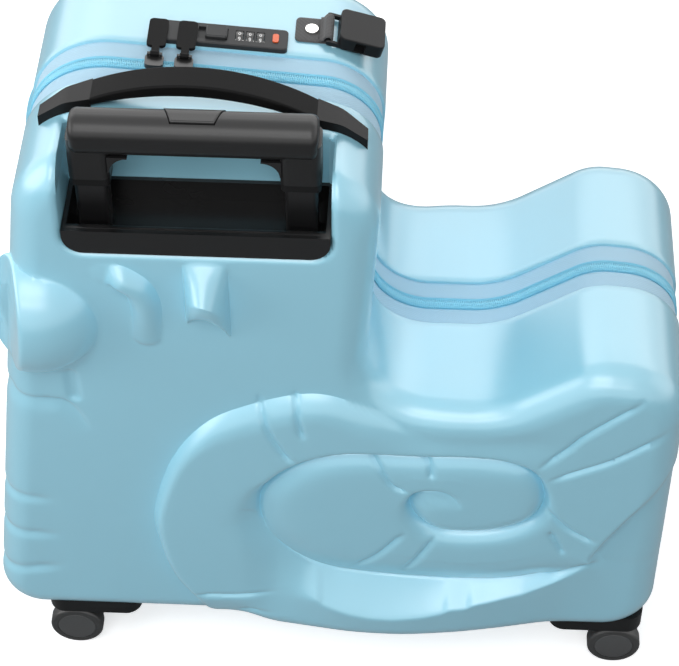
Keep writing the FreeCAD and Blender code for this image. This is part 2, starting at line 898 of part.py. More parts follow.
def trolley_tray():
    """Black open tray in the bottom of the pocket, with a rolled front lip and holes for the tubes."""
    dx = pocket_width / 2 - tray_margin
    top = tray_floor_z + tray_high
    front = -half_depth
    back = -pocket_back - tray_margin
    low_corner = pocket_corner - tray_margin
    corners = [
        (trolley_x - dx, tray_floor_z, low_corner),
        (trolley_x + dx, tray_floor_z, low_corner),
        (trolley_x + dx, top, 0.0),
        (trolley_x - dx, top, 0.0),
    ]
    block = slab(corners, front, back)
    room = [(x, z + beyond * (z == top), radius) for x, z, radius in corners]
    tray = block.cut(slab(inset(room, tray_thick), front + tray_thick, back - tray_thick))
    lip_size = 2 * tray_lip_radius
    lip = bar_x(trolley_x - dx, trolley_x + dx, front + tray_lip_radius, top - tray_lip_radius,
                lip_size, lip_size, run_share * lip_size)
    tray = tray.fuse(lip.common(block))
    length, width, corner = tube_size(1)
    holes = [column(rectangle(x, trolley_y, length + 2 * tube_gap, width + 2 * tube_gap, corner),
                    tray_floor_z - over, top + over) for x in leg_places()]
    return tray.cut(holes).removeSplitter()


def middle_collars():
    """Guide collar on top of each middle tube."""
    length, width, corner = tube_size(1)
    inner = tube_size(2)
    collars = []
    for x in leg_places():
        ring = column(rectangle(x, trolley_y, length + 2 * collar_rim, width + 2 * collar_rim, corner),
                      collar_z, collar_z + collar_height)
        hole = rectangle(x, trolley_y, inner[0] + 2 * tube_gap, inner[1] + 2 * tube_gap, inner[2])
        collars.append(ring.cut(column(hole, collar_z, collar_z + collar_height)))
    return Part.makeCompound(collars)


def grip_low():
    return collar_z + collar_height + stage_gap


def grip_middle():
    return grip_top - grip_height / 2


def bridge_top():
    return grip_middle() + bridge_lift


def inner_top():
    """Top of the inner tubes, clear of the bridge when the button is pressed."""
    return bridge_top() - bridge_high - button_gap - button_travel


def trolley_grip():
    """U-shaped grip: rounded bar on two legs with curved throats."""
    bar = bar_x(trolley_x - grip_length / 2, trolley_x + grip_length / 2, trolley_y, grip_middle(),
                grip_depth, grip_height, grip_round)
    ends = edges_on(bar, "x", trolley_x - grip_length / 2) + edges_on(bar, "x", trolley_x + grip_length / 2)
    bar = bar.makeFillet(grip_end_round, ends)
    length, width = grip_leg_length, grip_leg_depth
    legs = [column(rectangle(x, trolley_y, length, width, grip_leg_round), grip_low(), grip_middle())
            for x in leg_places()]
    under = grip_top - grip_height
    throats = []
    for x, way in zip(leg_places(), (1, -1)):
        side = x + way * length / 2
        wedge = slab([(side - way, under + over, 0.0), (side + way * grip_throat, under + over, 0.0),
                      (side + way * grip_throat, under, 0.0), (side, under - grip_throat, 0.0),
                      (side - way, under - grip_throat, 0.0)],
                     trolley_y - width / 2 + over, trolley_y + width / 2 - over)
        centre = V(side + way * grip_throat, trolley_y - grip_depth / 2, under - grip_throat)
        round_cut = Part.makeCylinder(grip_throat, grip_depth, centre, V(0, 1, 0))
        throats.append(wedge.cut(round_cut))
    grip = bar.fuse(legs + throats)
    length, width, corner = tube_size(2)
    cuts = [column(rectangle(x, trolley_y, length, width, corner), grip_low() - over, inner_top())
            for x in leg_places()]
    cuts.append(button_solid(button_gap, button_travel, grip_top + beyond))
    cuts.append(button_neck(button_gap, button_travel))
    cuts.append(bridge(button_gap, button_travel))
    cuts.append(spring_pocket())
    return grip.cut(cuts)


def button_solid(gap, travel, top):
    """Trapezoid of the release button in the top of the bar, grown by a gap and lowered by its travel."""
    back = trolley_y + grip_depth / 2
    front = back - button_deep
    spread = (button_back - button_front) / 2 / button_deep
    half_front = button_front / 2 + gap
    half_back = button_back / 2 + gap
    over_back = beyond * (gap > 0)
    corners = [
        (trolley_x - half_front, front - gap, 0.0),
        (trolley_x + half_front, front - gap, 0.0),
        (trolley_x + half_back + spread * over_back, back + over_back, 0.0),
        (trolley_x - half_back - spread * over_back, back + over_back, 0.0),
    ]
    return column(corners, grip_top - button_high - travel - gap, top)


def bridge(gap=0.0, travel=0.0):
    """Flat link inside the bar between the button and the two rods."""
    z = bridge_top() - bridge_high
    dx = leg_spacing / 2 + rod_radius
    return Part.makeBox(2 * dx + 2 * gap, bridge_thick + 2 * gap, bridge_high + 2 * gap + travel,
                        V(trolley_x - dx - gap, trolley_y - bridge_thick / 2 - gap, z - gap - travel))


def button_neck(gap=0.0, travel=0.0):
    """Short post from the button down to the bridge, grown by a gap and lowered by its travel."""
    low = bridge_top() - over - gap - travel
    high = grip_top - button_high + over
    wide = button_front / 2
    deep = button_deep / 2
    corner = V(trolley_x - wide / 2 - gap, trolley_y - deep / 2 - gap, low)
    return Part.makeBox(wide + 2 * gap, deep + 2 * gap, high - low, corner)


def trolley_button():
    """Release button with a flat top, cut off at the back by the bar's own round."""
    top = grip_top + button_proud
    block = button_solid(0.0, 0.0, top)
    block = block.makeFillet(button_edge, edges_on(block, "z", top))
    half = grip_length / 2
    back = bar_x(trolley_x - half, trolley_x + half, trolley_y, grip_middle() + button_proud,
                 grip_depth, grip_height, grip_round)
    front = V(trolley_x - button_back, trolley_y - grip_depth, grip_top - grip_height)
    room = back.fuse(Part.makeBox(2 * button_back, grip_depth, grip_height + button_proud, front))
    return block.common(room).fuse(button_neck().cut(bridge()))


def release_rods():
    """Bridge and two push rods down inside the inner tubes."""
    top = bridge_top() - bridge_high / 2
    rods = [Part.makeCylinder(rod_radius, rod_length, V(x, trolley_y, top), V(0, 0, -1)) for x in leg_places()]
    return bridge().fuse(rods).removeSplitter()


def carry_blank():
    """Handle outline between its two seams, drawn as an arch over the top of the head."""
    peak = V(carry_peak_x, 0, carry_peak_z)
    front = V(carry_front_seam, 0, top_z(carry_front_seam) + carry_seam_high)
    rear = V(carry_rear_seam, 0, top_z(carry_rear_seam) + carry_seam_high)
    drop = V(0, 0, -carry_thick)
    sink = V(0, 0, -carry_seam_high + carry_gap)
    upper = Part.Arc(front, peak, rear).toShape()
    lower = Part.Arc(rear + sink, peak + drop, front + sink).toShape()
    sides = [Part.LineSegment(rear, rear + sink).toShape(), Part.LineSegment(front + sink, front).toShape()]
    face = Part.Face(Part.Wire([upper, sides[0], lower, sides[1]]))
    face.translate(V(0, carry_y - carry_width / 2, 0))
    return face.extrude(V(0, carry_width, 0))


def carry_grip():
    """Arched grip of the carry handle."""
    arch = carry_blank()
    long_edges = [e for e in arch.Edges if e.Curve.TypeId == "Part::GeomCircle"]
    long_edges.sort(key=lambda e: e.BoundBox.ZMax)
    arch = arch.makeFillet(carry_roll, long_edges[:2])
    long_edges = [e for e in arch.Edges if e.BoundBox.ZMax > carry_peak_z - tiny and e.BoundBox.YLength < tiny]
    arch = arch.makeFillet(carry_round, long_edges)
    return arch.cut(carry_creases())


def carry_creases():
    """Round cutters that part the flat top of the grip from the roll under it."""
    drop = V(0, 0, -carry_crease_drop)
    ends = [V(x, 0, top_z(x) + carry_seam_high) + drop for x in (carry_front_seam, carry_rear_seam)]
    cutters = []
    for way in (-1, 1):
        aside = V(0, carry_y + way * carry_width / 2, 0)
        run = Part.Arc(ends[0] + aside, V(carry_peak_x, 0, carry_peak_z) + drop + aside, ends[1] + aside)
        cutters.append(tube([run.toShape()], carry_crease))
    return cutters


def carry_mount(seam, tip):
    """Wedge end of the carry handle, shaped to the rounded corner of the head."""
    way = math.copysign(1.0, tip - seam)
    seam_top = top_z(seam) + carry_seam_high
    tip_top = corner_height(tip) + carry_tip_high
    corners = [
        (seam, seam_top, 0.0),
        (seam, seam_top - beyond, 0.0),
        (tip, seam_top - beyond, 0.0),
        (tip, tip_top, 0.0),
        ((seam + tip) / 2, seam_top - (seam_top - tip_top) / 4, carry_width),
    ]
    front = carry_y - carry_width / 2
    block = slab(corners, front, front + carry_width)
    plan = [
        (seam, front, 0.0),
        (tip, front, 0.0),
        (tip, front + carry_tip_width, 0.0),
        (seam, front + carry_width, 0.0),
    ]
    block = block.common(column(plan, seam_top - 2 * beyond, seam_top + beyond))
    wedge = block.cut(half_block())
    solids = sorted(wedge.Solids, key=lambda s: s.CenterOfMass.z)
    mount = solids[-1]
    hole = carry_screw_axis(seam, way)
    return mount.cut(Part.makeCylinder(screw_radius, screw_bite + over, hole - V(0, 0, over)))


def corner_height(x):
    """Height of the body outline above an x on the head."""
    blank = Part.Face(rounded_wire(outline, lambda a, b: V(a, 0, b)))
    line = Part.LineSegment(V(x, 0, seat_z), V(x, 0, head_front_z + beyond)).toShape()
    return blank.common(line).BoundBox.ZMax


def carry_screw_axis(seam, way):
    """Point where a handle screw meets the outside of the shell."""
    x = seam + way * carry_screw_inset
    return V(x, carry_y, corner_height(x))


def carry_screw_points():
    return [carry_screw_axis(carry_front_seam, -1.0), carry_screw_axis(carry_rear_seam, 1.0)]


def carry_screw_holes():
    return [Part.makeCylinder(screw_radius + screw_gap, 4 * wall + 2 * over, p - V(0, 0, 4 * wall))
            for p in carry_screw_points()]


def carry_screws():
    """One screw into each handle end, from inside the shell."""
    screws = []
    for p in carry_screw_points():
        low = p.z - carry_screw_deep
        shank = Part.makeCylinder(screw_radius, p.z + screw_bite - low, V(p.x, p.y, low))
        head = Part.makeCylinder(screw_head_radius, screw_head_high, V(p.x, p.y, low - screw_head_high))
        screws.append(shank.fuse(head).removeSplitter())
    return Part.makeCompound(screws)


def strap_tab():
    """Webbing patch on the shell that ends in a ring round the buckle's bar."""
    start = strap_x - lock_x
    ring_x = start + strap_run
    side = strap_y - strap_width / 2
    patch = column(rectangle(start + strap_run / 2, strap_y, strap_run, strap_width), 0.0, strap_thick)
    ring = Part.makeCylinder(strap_ring_radius, strap_width, V(ring_x, side, strap_ring_radius), V(0, 1, 0))
    bore = Part.makeCylinder(strap_ring_radius - strap_thick, strap_width, V(ring_x, side, strap_ring_radius),
                             V(0, 1, 0))
    hole = Part.makeCylinder(rivet_shank, beyond, V(rivet_x - lock_x, strap_y, -beyond / 2))
    return on_top(patch.fuse(ring).cut([bore, hole]).removeSplitter(), lock_x)


def strap_rivet():
    """Domed rivet through the strap and the shell, with a washer head inside."""
    x = rivet_x - lock_x
    head = Part.makeCylinder(rivet_radius, rivet_head, V(x, strap_y, strap_thick))
    head = head.makeFillet(rivet_round, edges_on(head, "z", strap_thick + rivet_head))
    shank = Part.makeCylinder(rivet_shank, strap_thick + wall, V(x, strap_y, -wall))
    back = Part.makeCylinder(rivet_radius, rivet_back, V(x, strap_y, -wall - rivet_back))
    return on_top(head.fuse([shank, back]).removeSplitter(), lock_x)


def bar_centre():
    """Buckle bar, in the sloping frame of the head's top."""
    return V(strap_x - lock_x + strap_run, strap_y, strap_ring_radius)


def buckle():
    """Socket half of a side-release buckle, tilted over the rounded rear of the head."""
    side = buckle_width / 2
    bar_half = side - buckle_side
    bar = Part.makeCylinder(buckle_bar, 2 * bar_half, V(0, -bar_half, 0), V(0, 1, 0))
    body_from = strap_ring_radius + buckle_slot
    body_to = body_from + buckle_length
    low = -buckle_below
    top = low + buckle_thick
    block = column(rectangle((body_from + body_to) / 2, 0, buckle_length, buckle_width, buckle_corner),
                   low, top)
    block = block.makeFillet(buckle_skin / 2, edges_on(block, "z", top) + edges_on(block, "z", low))
    mouth = column(rectangle(body_to - buckle_length / 2 + buckle_skin, 0, buckle_length,
                             buckle_width - 4 * buckle_skin), low + buckle_skin, top - buckle_skin)
    window_x = body_to - buckle_window_inset - buckle_window_length
    windows = [Part.makeBox(buckle_window_length, 3 * buckle_skin, buckle_thick - 2 * buckle_skin,
                            V(window_x, y, low + buckle_skin))
               for y in (-side - buckle_skin / 2, side - 2.5 * buckle_skin)]
    arm = bar_half - strap_width / 2 - buckle_bar_gap
    arms = [Part.makeBox(body_from + buckle_skin, arm, 2 * buckle_bar, V(0, y, -buckle_bar))
            for y in (-bar_half, bar_half - arm)]
    shape = block.cut([mouth] + windows).fuse([bar] + arms).removeSplitter()
    shape.Placement = FreeCAD.Placement(bar_centre(), FreeCAD.Rotation(V(0, 1, 0), buckle_tilt))
    return on_top(shape, lock_x)


def caster_mount(moulding, x, y, trail):
    """Plate fitted under the shell's corner with a housing for the swivel stem."""
    low = body_bottom - plate_thick
    corners = [
        (x - plate_half_length, y - plate_outer, plate_corner),
        (x + plate_half_length, y - plate_outer, plate_corner),
        (x + plate_half_length, y + plate_inner, plate_corner),
        (x - plate_half_length, y + plate_inner, plate_corner),
    ]
    plate = column(corners, low, low + plate_tall).cut(moulding)
    plate = sorted(plate.Solids, key=lambda s: s.BoundBox.ZMin)[0]
    housing = Part.makeCylinder(housing_radius, housing_high - low, V(x, y, low))
    bores = [Part.makeCylinder(stem_radius + stem_gap, housing_high, V(x, y, 0))]
    bores += [Part.makeCylinder(screw_radius, screw_bite, V(sx, sy, body_bottom - screw_bite))
              for sx, sy in caster_screw_places(x, y, trail)]
    return plate.fuse(housing).cut(bores).removeSplitter()


def caster_screws():
    """Screws from inside the shell into the mount plates of one half."""
    screws = []
    for x, y, trail in caster_centres():
        for sx, sy in caster_screw_places(x, y, trail):
            shank = Part.makeCylinder(screw_radius, screw_bite + wall, V(sx, sy, body_bottom - screw_bite))
            head = Part.makeCylinder(screw_head_radius, screw_head_high, V(sx, sy, floor_inside()))
            screws.append(shank.fuse(head).removeSplitter())
    return Part.makeCompound(screws)


def caster_fork(x, y, trail):
    """Swivel disc and stem over a round web between the two wheels."""
    disc_top = body_bottom - plate_thick - swivel_gap
    disc_low = disc_top - swivel_thick
    wheel_x = x + trail * caster_trail
    disc = Part.makeCylinder(swivel_radius, swivel_thick, V(x, y, disc_low))
    web = Part.makeCylinder(wheel_radius - fork_inside, fork_width,
                            V(wheel_x, y - fork_width / 2, wheel_radius), V(0, 1, 0))
    neck_top = disc_low + over
    neck = slab([(x - trail * swivel_radius * neck_share, neck_top, 0.0), (wheel_x, neck_top, 0.0),
                 (wheel_x, wheel_radius, 0.0), (x - trail * fork_inside, wheel_radius, neck_corner)],
                y - fork_width / 2, y + fork_width / 2)
    stem = Part.makeCylinder(stem_radius, stem_high - disc_top, V(x, y, disc_top))
    ring = Part.makeCylinder(ring_radius, ring_thick, V(x, y, housing_high + swivel_gap))
    bore = Part.makeCylinder(axle_radius + axle_gap, fork_width, V(wheel_x, y - fork_width / 2, wheel_radius),
                             V(0, 1, 0))
    return disc.fuse([web, neck, stem, ring]).cut(bore).removeSplitter()


def wheel_offset():
    return fork_width / 2 + wheel_gap


def caster_wheels(x, y, trail):
    """Pair of wheels with a shallow seat for the hub cap on the outer face."""
    wheel_x = x + trail * caster_trail
    wheels = []
    for way in (-1, 1):
        start = V(wheel_x, y + way * wheel_offset(), wheel_radius)
        axis = V(0, way, 0)
        wheel = Part.makeCylinder(wheel_radius, wheel_width, start, axis)
        rims = [e for e in wheel.Edges if e.Curve.TypeId == "Part::GeomCircle"]
        wheel = wheel.makeFillet(wheel_round, rims)
        seat = Part.makeCylinder(hub_radius, hub_deep, start + axis * (wheel_width - hub_deep), axis)
        bore = Part.makeCylinder(axle_radius, wheel_width, start, axis)
        wheels.append(wheel.cut([seat, bore]))
    return Part.makeCompound(wheels)


def caster_axle(x, y, trail):
    """Axle with a hub cap at each end."""
    wheel_x = x + trail * caster_trail
    half = wheel_offset() + wheel_width - hub_deep
    axle = Part.makeCylinder(axle_radius, 2 * half, V(wheel_x, y - half, wheel_radius), V(0, 1, 0))
    caps = []
    for way in (-1, 1):
        cap = Part.makeCylinder(hub_radius, hub_deep, V(wheel_x, y + way * half, wheel_radius), V(0, way, 0))
        outer = edges_on(cap, "y", y + way * (half + hub_deep))
        caps.append(cap.makeFillet(hub_deep / 2, outer))
    return axle.fuse(caps).removeSplitter()


def spring_low():
    return bridge_top() - bridge_high - spring_high


def button_spring():
    """Arched leaf spring between the floor of its pocket and the bridge."""
    high = spring_high - spring_gap
    half = spring_span / 2
    radius = (half ** 2 + high ** 2) / (2 * high)
    centre_z = high - radius
    inner = radius - spring_thick
    inner_half = math.sqrt(inner ** 2 - centre_z ** 2)
    outer_arc = Part.Arc(V(-half, 0, 0), V(0, 0, high), V(half, 0, 0))
    inner_arc = Part.Arc(V(inner_half, 0, 0), V(0, 0, high - spring_thick), V(-inner_half, 0, 0))
    rear_foot = Part.LineSegment(V(half, 0, 0), V(inner_half, 0, 0))
    front_foot = Part.LineSegment(V(-inner_half, 0, 0), V(-half, 0, 0))
    wire = Part.Wire([run.toShape() for run in (outer_arc, rear_foot, inner_arc, front_foot)])
    leaf = Part.Face(wire).extrude(V(0, spring_width, 0))
    leaf.translate(V(trolley_x, trolley_y - spring_width / 2, spring_low()))
    return leaf


def spring_pocket():
    """Room in the grip for the spring, also when it is pressed flat."""
    length = spring_span + 2 * over
    width = spring_width + 2 * spring_gap
    corner = V(trolley_x - length / 2, trolley_y - width / 2, spring_low())
    return Part.makeBox(length, width, spring_high + bridge_high, corner)


def export(name, shape):
    shape.exportStep(f"parts/{name}.step")
    box = shape.BoundBox
    print(f"{name}: {len(shape.Solids)} solids, valid {shape.isValid()}, {shape.Volume / 1000:.1f} cm3, "
          f"x {box.XMin:.1f} {box.XMax:.1f} y {box.YMin:.1f} {box.YMax:.1f} z {box.ZMin:.1f} {box.ZMax:.1f}")


def main():
    os.makedirs("parts", exist_ok=True)
    moulding = moulded_half()
    export("near_shell", near_shell(moulding))
    export("far_shell", far_shell(moulding))
    export("near_zip_tape", zip_tape())
    export("far_zip_tape", mirrored(zip_tape()))
    export("near_zip_coil", zip_coil())
    export("far_zip_coil", mirrored(zip_coil()))
    for i, name in enumerate(("front", "rear")):
        x = slider_front_x + i * slider_pitch
        export(f"zip_slider_{name}", zip_slider(x))
        export(f"zip_pull_{name}", zip_pull(x))
    export("lock_housing", lock_housing())
    export("lock_dial_axle", lock_axle())
    for i, x in enumerate(dial_places()):
        export(f"lock_dial_{i + 1}", lock_dial(x))
    export("lock_button", lock_button())
    export("lock_indicator", lock_indicator())
    export("trolley_tray", trolley_tray())
    export("trolley_feet", trolley_feet())
    export("trolley_outer_tubes", tube_pair(0, outer_low(), tray_floor_z))
    export("trolley_middle_tubes", tube_pair(1, outer_low() + middle_lift, collar_z))
    export("trolley_collars", middle_collars())
    export("trolley_inner_tubes", tube_pair(2, outer_low() + inner_lift, inner_top()))
    export("trolley_grip", trolley_grip())
    export("trolley_button", trolley_button())
    export("trolley_release_rods", release_rods())
    export("trolley_button_spring", button_spring())
    export("carry_handle_grip", carry_grip())
    export("carry_handle_front_mount", carry_mount(carry_front_seam, carry_front_x))
    export("carry_handle_rear_mount", carry_mount(carry_rear_seam, carry_rear_x))
    export("carry_handle_screws", carry_screws())
    export("strap_tab", strap_tab())
    export("strap_rivet", strap_rivet())
    export("buckle_socket", buckle())
    export("caster_screws_near", caster_screws())
    export("caster_screws_far", mirrored(caster_screws()))
    makers = {
        "mount": lambda *centre: caster_mount(moulding, *centre),
        "fork": caster_fork,
        "wheels": caster_wheels,
        "axle": caster_axle,
    }
    for end, centre in zip(("front", "rear"), caster_centres()):
        for piece, maker in makers.items():
            shape = maker(*centre)
            export(f"caster_{piece}_{end}_near", shape)
            export(f"caster_{piece}_{end}_far", mirrored(shape))


main()
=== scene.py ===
import json
import math

import bmesh
import bpy
import numpy as np
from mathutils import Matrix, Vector
from mathutils.geometry import delaunay_2d_cdt
from mathutils.kdtree import KDTree


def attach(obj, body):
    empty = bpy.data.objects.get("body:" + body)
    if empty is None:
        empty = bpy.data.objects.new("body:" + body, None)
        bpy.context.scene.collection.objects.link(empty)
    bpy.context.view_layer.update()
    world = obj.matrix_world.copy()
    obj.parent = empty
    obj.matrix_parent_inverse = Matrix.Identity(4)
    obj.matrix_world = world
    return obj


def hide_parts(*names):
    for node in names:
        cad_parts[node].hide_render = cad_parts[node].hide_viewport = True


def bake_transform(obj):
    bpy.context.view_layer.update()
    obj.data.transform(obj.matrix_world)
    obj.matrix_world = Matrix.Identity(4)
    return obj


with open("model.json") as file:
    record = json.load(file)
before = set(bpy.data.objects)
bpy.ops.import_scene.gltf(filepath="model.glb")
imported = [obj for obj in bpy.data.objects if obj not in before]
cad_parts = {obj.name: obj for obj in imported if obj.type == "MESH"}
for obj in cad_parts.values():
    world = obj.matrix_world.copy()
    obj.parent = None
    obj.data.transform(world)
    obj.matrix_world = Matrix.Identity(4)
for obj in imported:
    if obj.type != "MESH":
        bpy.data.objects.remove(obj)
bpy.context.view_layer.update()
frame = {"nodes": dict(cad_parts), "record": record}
nodes = frame["nodes"]
scene = bpy.context.scene
mm = 0.001
square = ((-1, -1), (1, -1), (1, 1), (-1, 1))
print("stage: frame loaded,", len(nodes), "nodes")

# camera at the photograph's angle
photoView = {"target": (0.006, 0.0, 0.256), "elevation": 47.0, "turn": 2.6, "distance": 1.65,
             "lens": 121.94, "sensor": 36.0}


def placeObject(data, place, away):
    placed = bpy.data.objects.new(data.name, data)
    placed.location = place
    placed.rotation_euler = away.to_track_quat("Z", "Y").to_euler()
    scene.collection.objects.link(placed)
    return placed


def addCamera(view):
    rise = math.radians(view["elevation"])
    turn = math.radians(view["turn"])
    back = Vector((math.sin(turn) * math.cos(rise), -math.cos(turn) * math.cos(rise), math.sin(rise)))
    data = bpy.data.cameras.new("photoCamera")
    data.lens = view["lens"]
    data.sensor_width = view["sensor"]
    scene.camera = placeObject(data, Vector(view["target"]) + back * view["distance"], back)


# soft studio light, pale floor
studio = {
    "floorHalf": 4.0, "floorColor": (0.93, 0.94, 0.95), "floorRoughness": 0.9, "floorSpecular": 0.1,
    "floorGlow": 0.6, "floorBounce": (0.5, 0.51, 0.52),
    "worldColor": (0.93, 0.97, 1.0), "worldStrength": 0.12, "shineStrength": 2.2, "backdropStrength": 1.0,
    "aim": (0.0, 0.0, 0.3),
    "lamps": [
        {"name": "backStrip", "place": (0.0, 1.5, 1.75), "size": (5.0, 0.8), "power": 26.0},
        {"name": "topSoftbox", "place": (-0.15, -1.05, 1.8), "size": (1.3, 0.7), "power": 12.0},
        {"name": "frontStrip", "place": (-0.2, -1.8, 1.55), "size": (1.8, 0.2), "power": 10.0},
        {"name": "leftSoftbox", "place": (-1.7, -0.45, 0.9), "size": (1.2, 1.2), "power": 14.0},
        {"name": "rightSoftbox", "place": (1.8, -0.1, 0.9), "size": (1.2, 1.2), "power": 4.0,
         "aim": (0.0, 0.0, 0.25)},
    ],
}


def setSockets(node, sockets):
    for name, value in sockets.items():
        node.inputs[name].default_value = value


def addNode(tree, kind, sockets=None):
    node = tree.nodes.new("ShaderNode" + kind)
    setSockets(node, sockets or {})
    return node


def newMaterial(name):
    material = bpy.data.materials.new(name)
    material.use_nodes = True
    return material, material.node_tree, material.node_tree.nodes["Principled BSDF"]


def mixByRay(tree, ray, usual, special):
    # the special shader for one kind of ray, the usual one for the rest
    mix = addNode(tree, "MixShader")
    tree.links.new(addNode(tree, "LightPath").outputs[ray], mix.inputs["Fac"])
    tree.links.new(usual, mix.inputs[1])
    tree.links.new(special, mix.inputs[2])
    return mix.outputs[0]


def addLamps(plan):
    for lamp in plan["lamps"]:
        data = bpy.data.lights.new(lamp["name"], "AREA")
        data.shape = "RECTANGLE"
        data.size, data.size_y = lamp["size"]
        data.energy = lamp["power"]
        place = Vector(lamp["place"])
        placeObject(data, place, place - Vector(lamp.get("aim", plan["aim"])))


def addWorld(plan):
    world = bpy.data.worlds.new("studioWorld")
    scene.world = world
    world.use_nodes = True
    tree = world.node_tree
    background = tree.nodes["Background"]
    setSockets(background, {"Color": (*plan["worldColor"], 1), "Strength": plan["worldStrength"]})
    shown = background.outputs[0]
    for ray, strength in (("Is Glossy Ray", plan["shineStrength"]), ("Is Camera Ray", plan["backdropStrength"])):
        white = addNode(tree, "Background", {"Color": (1, 1, 1, 1), "Strength": strength})
        shown = mixByRay(tree, ray, shown, white.outputs[0])
    tree.links.new(shown, tree.nodes["World Output"].inputs["Surface"])


def addFloor(plan):
    half = plan["floorHalf"]
    mesh = bpy.data.meshes.new("studioFloor")
    mesh.from_pydata([(i * half, j * half, 0) for i, j in square], [], [(0, 1, 2, 3)])
    floor = bpy.data.objects.new("studioFloor", mesh)
    scene.collection.objects.link(floor)
    paint, tree, shader = newMaterial("floorPaint")
    setSockets(shader, {
        "Base Color": (*plan["floorColor"], 1), "Roughness": plan["floorRoughness"],
        "Specular IOR Level": plan["floorSpecular"],
        "Emission Color": (1, 1, 1, 1), "Emission Strength": plan["floorGlow"],
    })
    bounce = addNode(tree, "BsdfDiffuse", {"Color": (*plan["floorBounce"], 1)})  # thrown back onto the case
    shown = mixByRay(tree, "Is Camera Ray", bounce.outputs[0], shader.outputs[0])
    tree.links.new(shown, tree.nodes["Material Output"].inputs["Surface"])
    mesh.materials.append(paint)


addCamera(photoView)
addLamps(studio)
addWorld(studio)
addFloor(studio)
scene.view_settings.view_transform = "Standard"
print("stage: camera, lights and floor ready")

# finishes: colour, roughness, and the fine detail of each surface, on top of what a plain finish has
plainFinish = {
    "vary": 0.1, "roughVary": 0.08, "cloud": 14.0, "grain": 2600.0, "bump": 0.02,
    "metallic": 0.0, "specular": 0.5, "coat": 0.0, "coatRoughness": 0.03,
}
finishes = {
    "shellBlue": {"color": (0.33, 0.68, 0.83), "vary": 0.004, "roughness": 0.33, "roughVary": 0.008, "cloud": 9.0,
                  "grain": 900.0, "bump": 0.015, "coat": 1.0, "coatRoughness": 0.27},
    "satinBlack": {"color": (0.007, 0.007, 0.0073), "vary": 0.15, "roughness": 0.42, "roughVary": 0.1,
                   "specular": 0.14, "grain": 2200.0, "bump": 0.05},
    "gripBlack": {"color": (0.009, 0.009, 0.0093), "vary": 0.15, "roughness": 0.34, "roughVary": 0.06,
                  "specular": 0.3, "bump": 0.04},
    "trayBlack": {"color": (0.006, 0.006, 0.0062), "vary": 0.15, "roughness": 0.26, "roughVary": 0.05,
                  "specular": 0.35, "bump": 0.03},
    "handleBlack": {"color": (0.008, 0.008, 0.0082), "vary": 0.15, "roughness": 0.5, "roughVary": 0.1,
                    "specular": 0.05, "grain": 2000.0, "bump": 0.07},
    "tubeBlack": {"color": (0.018, 0.018, 0.019), "roughness": 0.32, "grain": 1600.0, "metallic": 0.5},
    "lockGrey": {"color": (0.024, 0.025, 0.026), "roughness": 0.45, "specular": 0.2, "bump": 0.04},
    "dialBlack": {"color": (0.02, 0.02, 0.02), "roughness": 0.35, "roughVary": 0.05, "grain": 3000.0},
    "signalOrange": {"color": (0.82, 0.13, 0.03), "vary": 0.05, "roughness": 0.35, "roughVary": 0.05},
    "brightSteel": {"color": (0.72, 0.71, 0.69), "vary": 0.05, "roughness": 0.22, "roughVary": 0.1,
                    "grain": 1800.0, "bump": 0.03, "metallic": 1.0},
    "wheelBlack": {"color": (0.022, 0.022, 0.022), "vary": 0.2, "roughness": 0.5, "roughVary": 0.12,
                   "grain": 1500.0, "bump": 0.06},
    "hubGrey": {"color": (0.06, 0.061, 0.062), "vary": 0.12, "roughness": 0.46, "roughVary": 0.1,
                "grain": 2200.0, "bump": 0.05},
    "coilBlue": {"color": (0.31, 0.74, 0.92), "vary": 0.03, "roughness": 0.4, "roughVary": 0.05,
                 "grain": 2200.0, "bump": 0.03},
    "digitWhite": {"color": (0.8, 0.8, 0.79), "vary": 0.02, "roughness": 0.5, "roughVary": 0.05},
    "paintedBlack": {"color": (0.03, 0.03, 0.03), "roughness": 0.33, "grain": 2400.0, "bump": 0.03, "metallic": 0.3},
}


def linkAll(tree, *pairs):
    for start, end in pairs:
        tree.links.new(start, end)


def tintAndBump(tree, shader, shade, height, colors, strength, distance):
    # colour from one pattern, fine relief from another
    tint = addNode(tree, "ValToRGB")
    for element, color in zip(tint.color_ramp.elements, colors):
        element.color = (*color, 1)
    bump = addNode(tree, "Bump", {"Strength": strength, "Distance": distance})
    linkAll(tree, (shade, tint.inputs["Fac"]), (tint.outputs["Color"], shader.inputs["Base Color"]),
            (height, bump.inputs["Height"]), (bump.outputs["Normal"], shader.inputs["Normal"]))
    return tint.color_ramp.elements


def makeFinish(name, plan):
    plan = {**plainFinish, **plan}
    material, tree, shader = newMaterial(name)
    place = addNode(tree, "TexCoord").outputs["Object"]
    cloud = addNode(tree, "TexNoise", {"Scale": plan["cloud"], "Detail": 3.0})
    grain = addNode(tree, "TexNoise", {"Scale": plan["grain"], "Detail": 2.0})
    shades = [[min(1, c * (1 + vary)) for c in plan["color"]] for vary in (-plan["vary"], plan["vary"])]
    low, high = tintAndBump(tree, shader, cloud.outputs["Fac"], grain.outputs["Fac"], shades, plan["bump"], 0.4 * mm)
    low.position, high.position = 0.3, 0.7
    spread = addNode(tree, "MapRange", {"To Min": plan["roughness"] - plan["roughVary"],
                                        "To Max": plan["roughness"] + plan["roughVary"]})
    linkAll(tree, (place, cloud.inputs["Vector"]), (place, grain.inputs["Vector"]),
            (cloud.outputs["Fac"], spread.inputs["Value"]), (spread.outputs["Result"], shader.inputs["Roughness"]))
    setSockets(shader, {"Metallic": plan["metallic"], "Specular IOR Level": plan["specular"],
                        "Coat Weight": plan["coat"], "Coat Roughness": plan["coatRoughness"]})
    return material


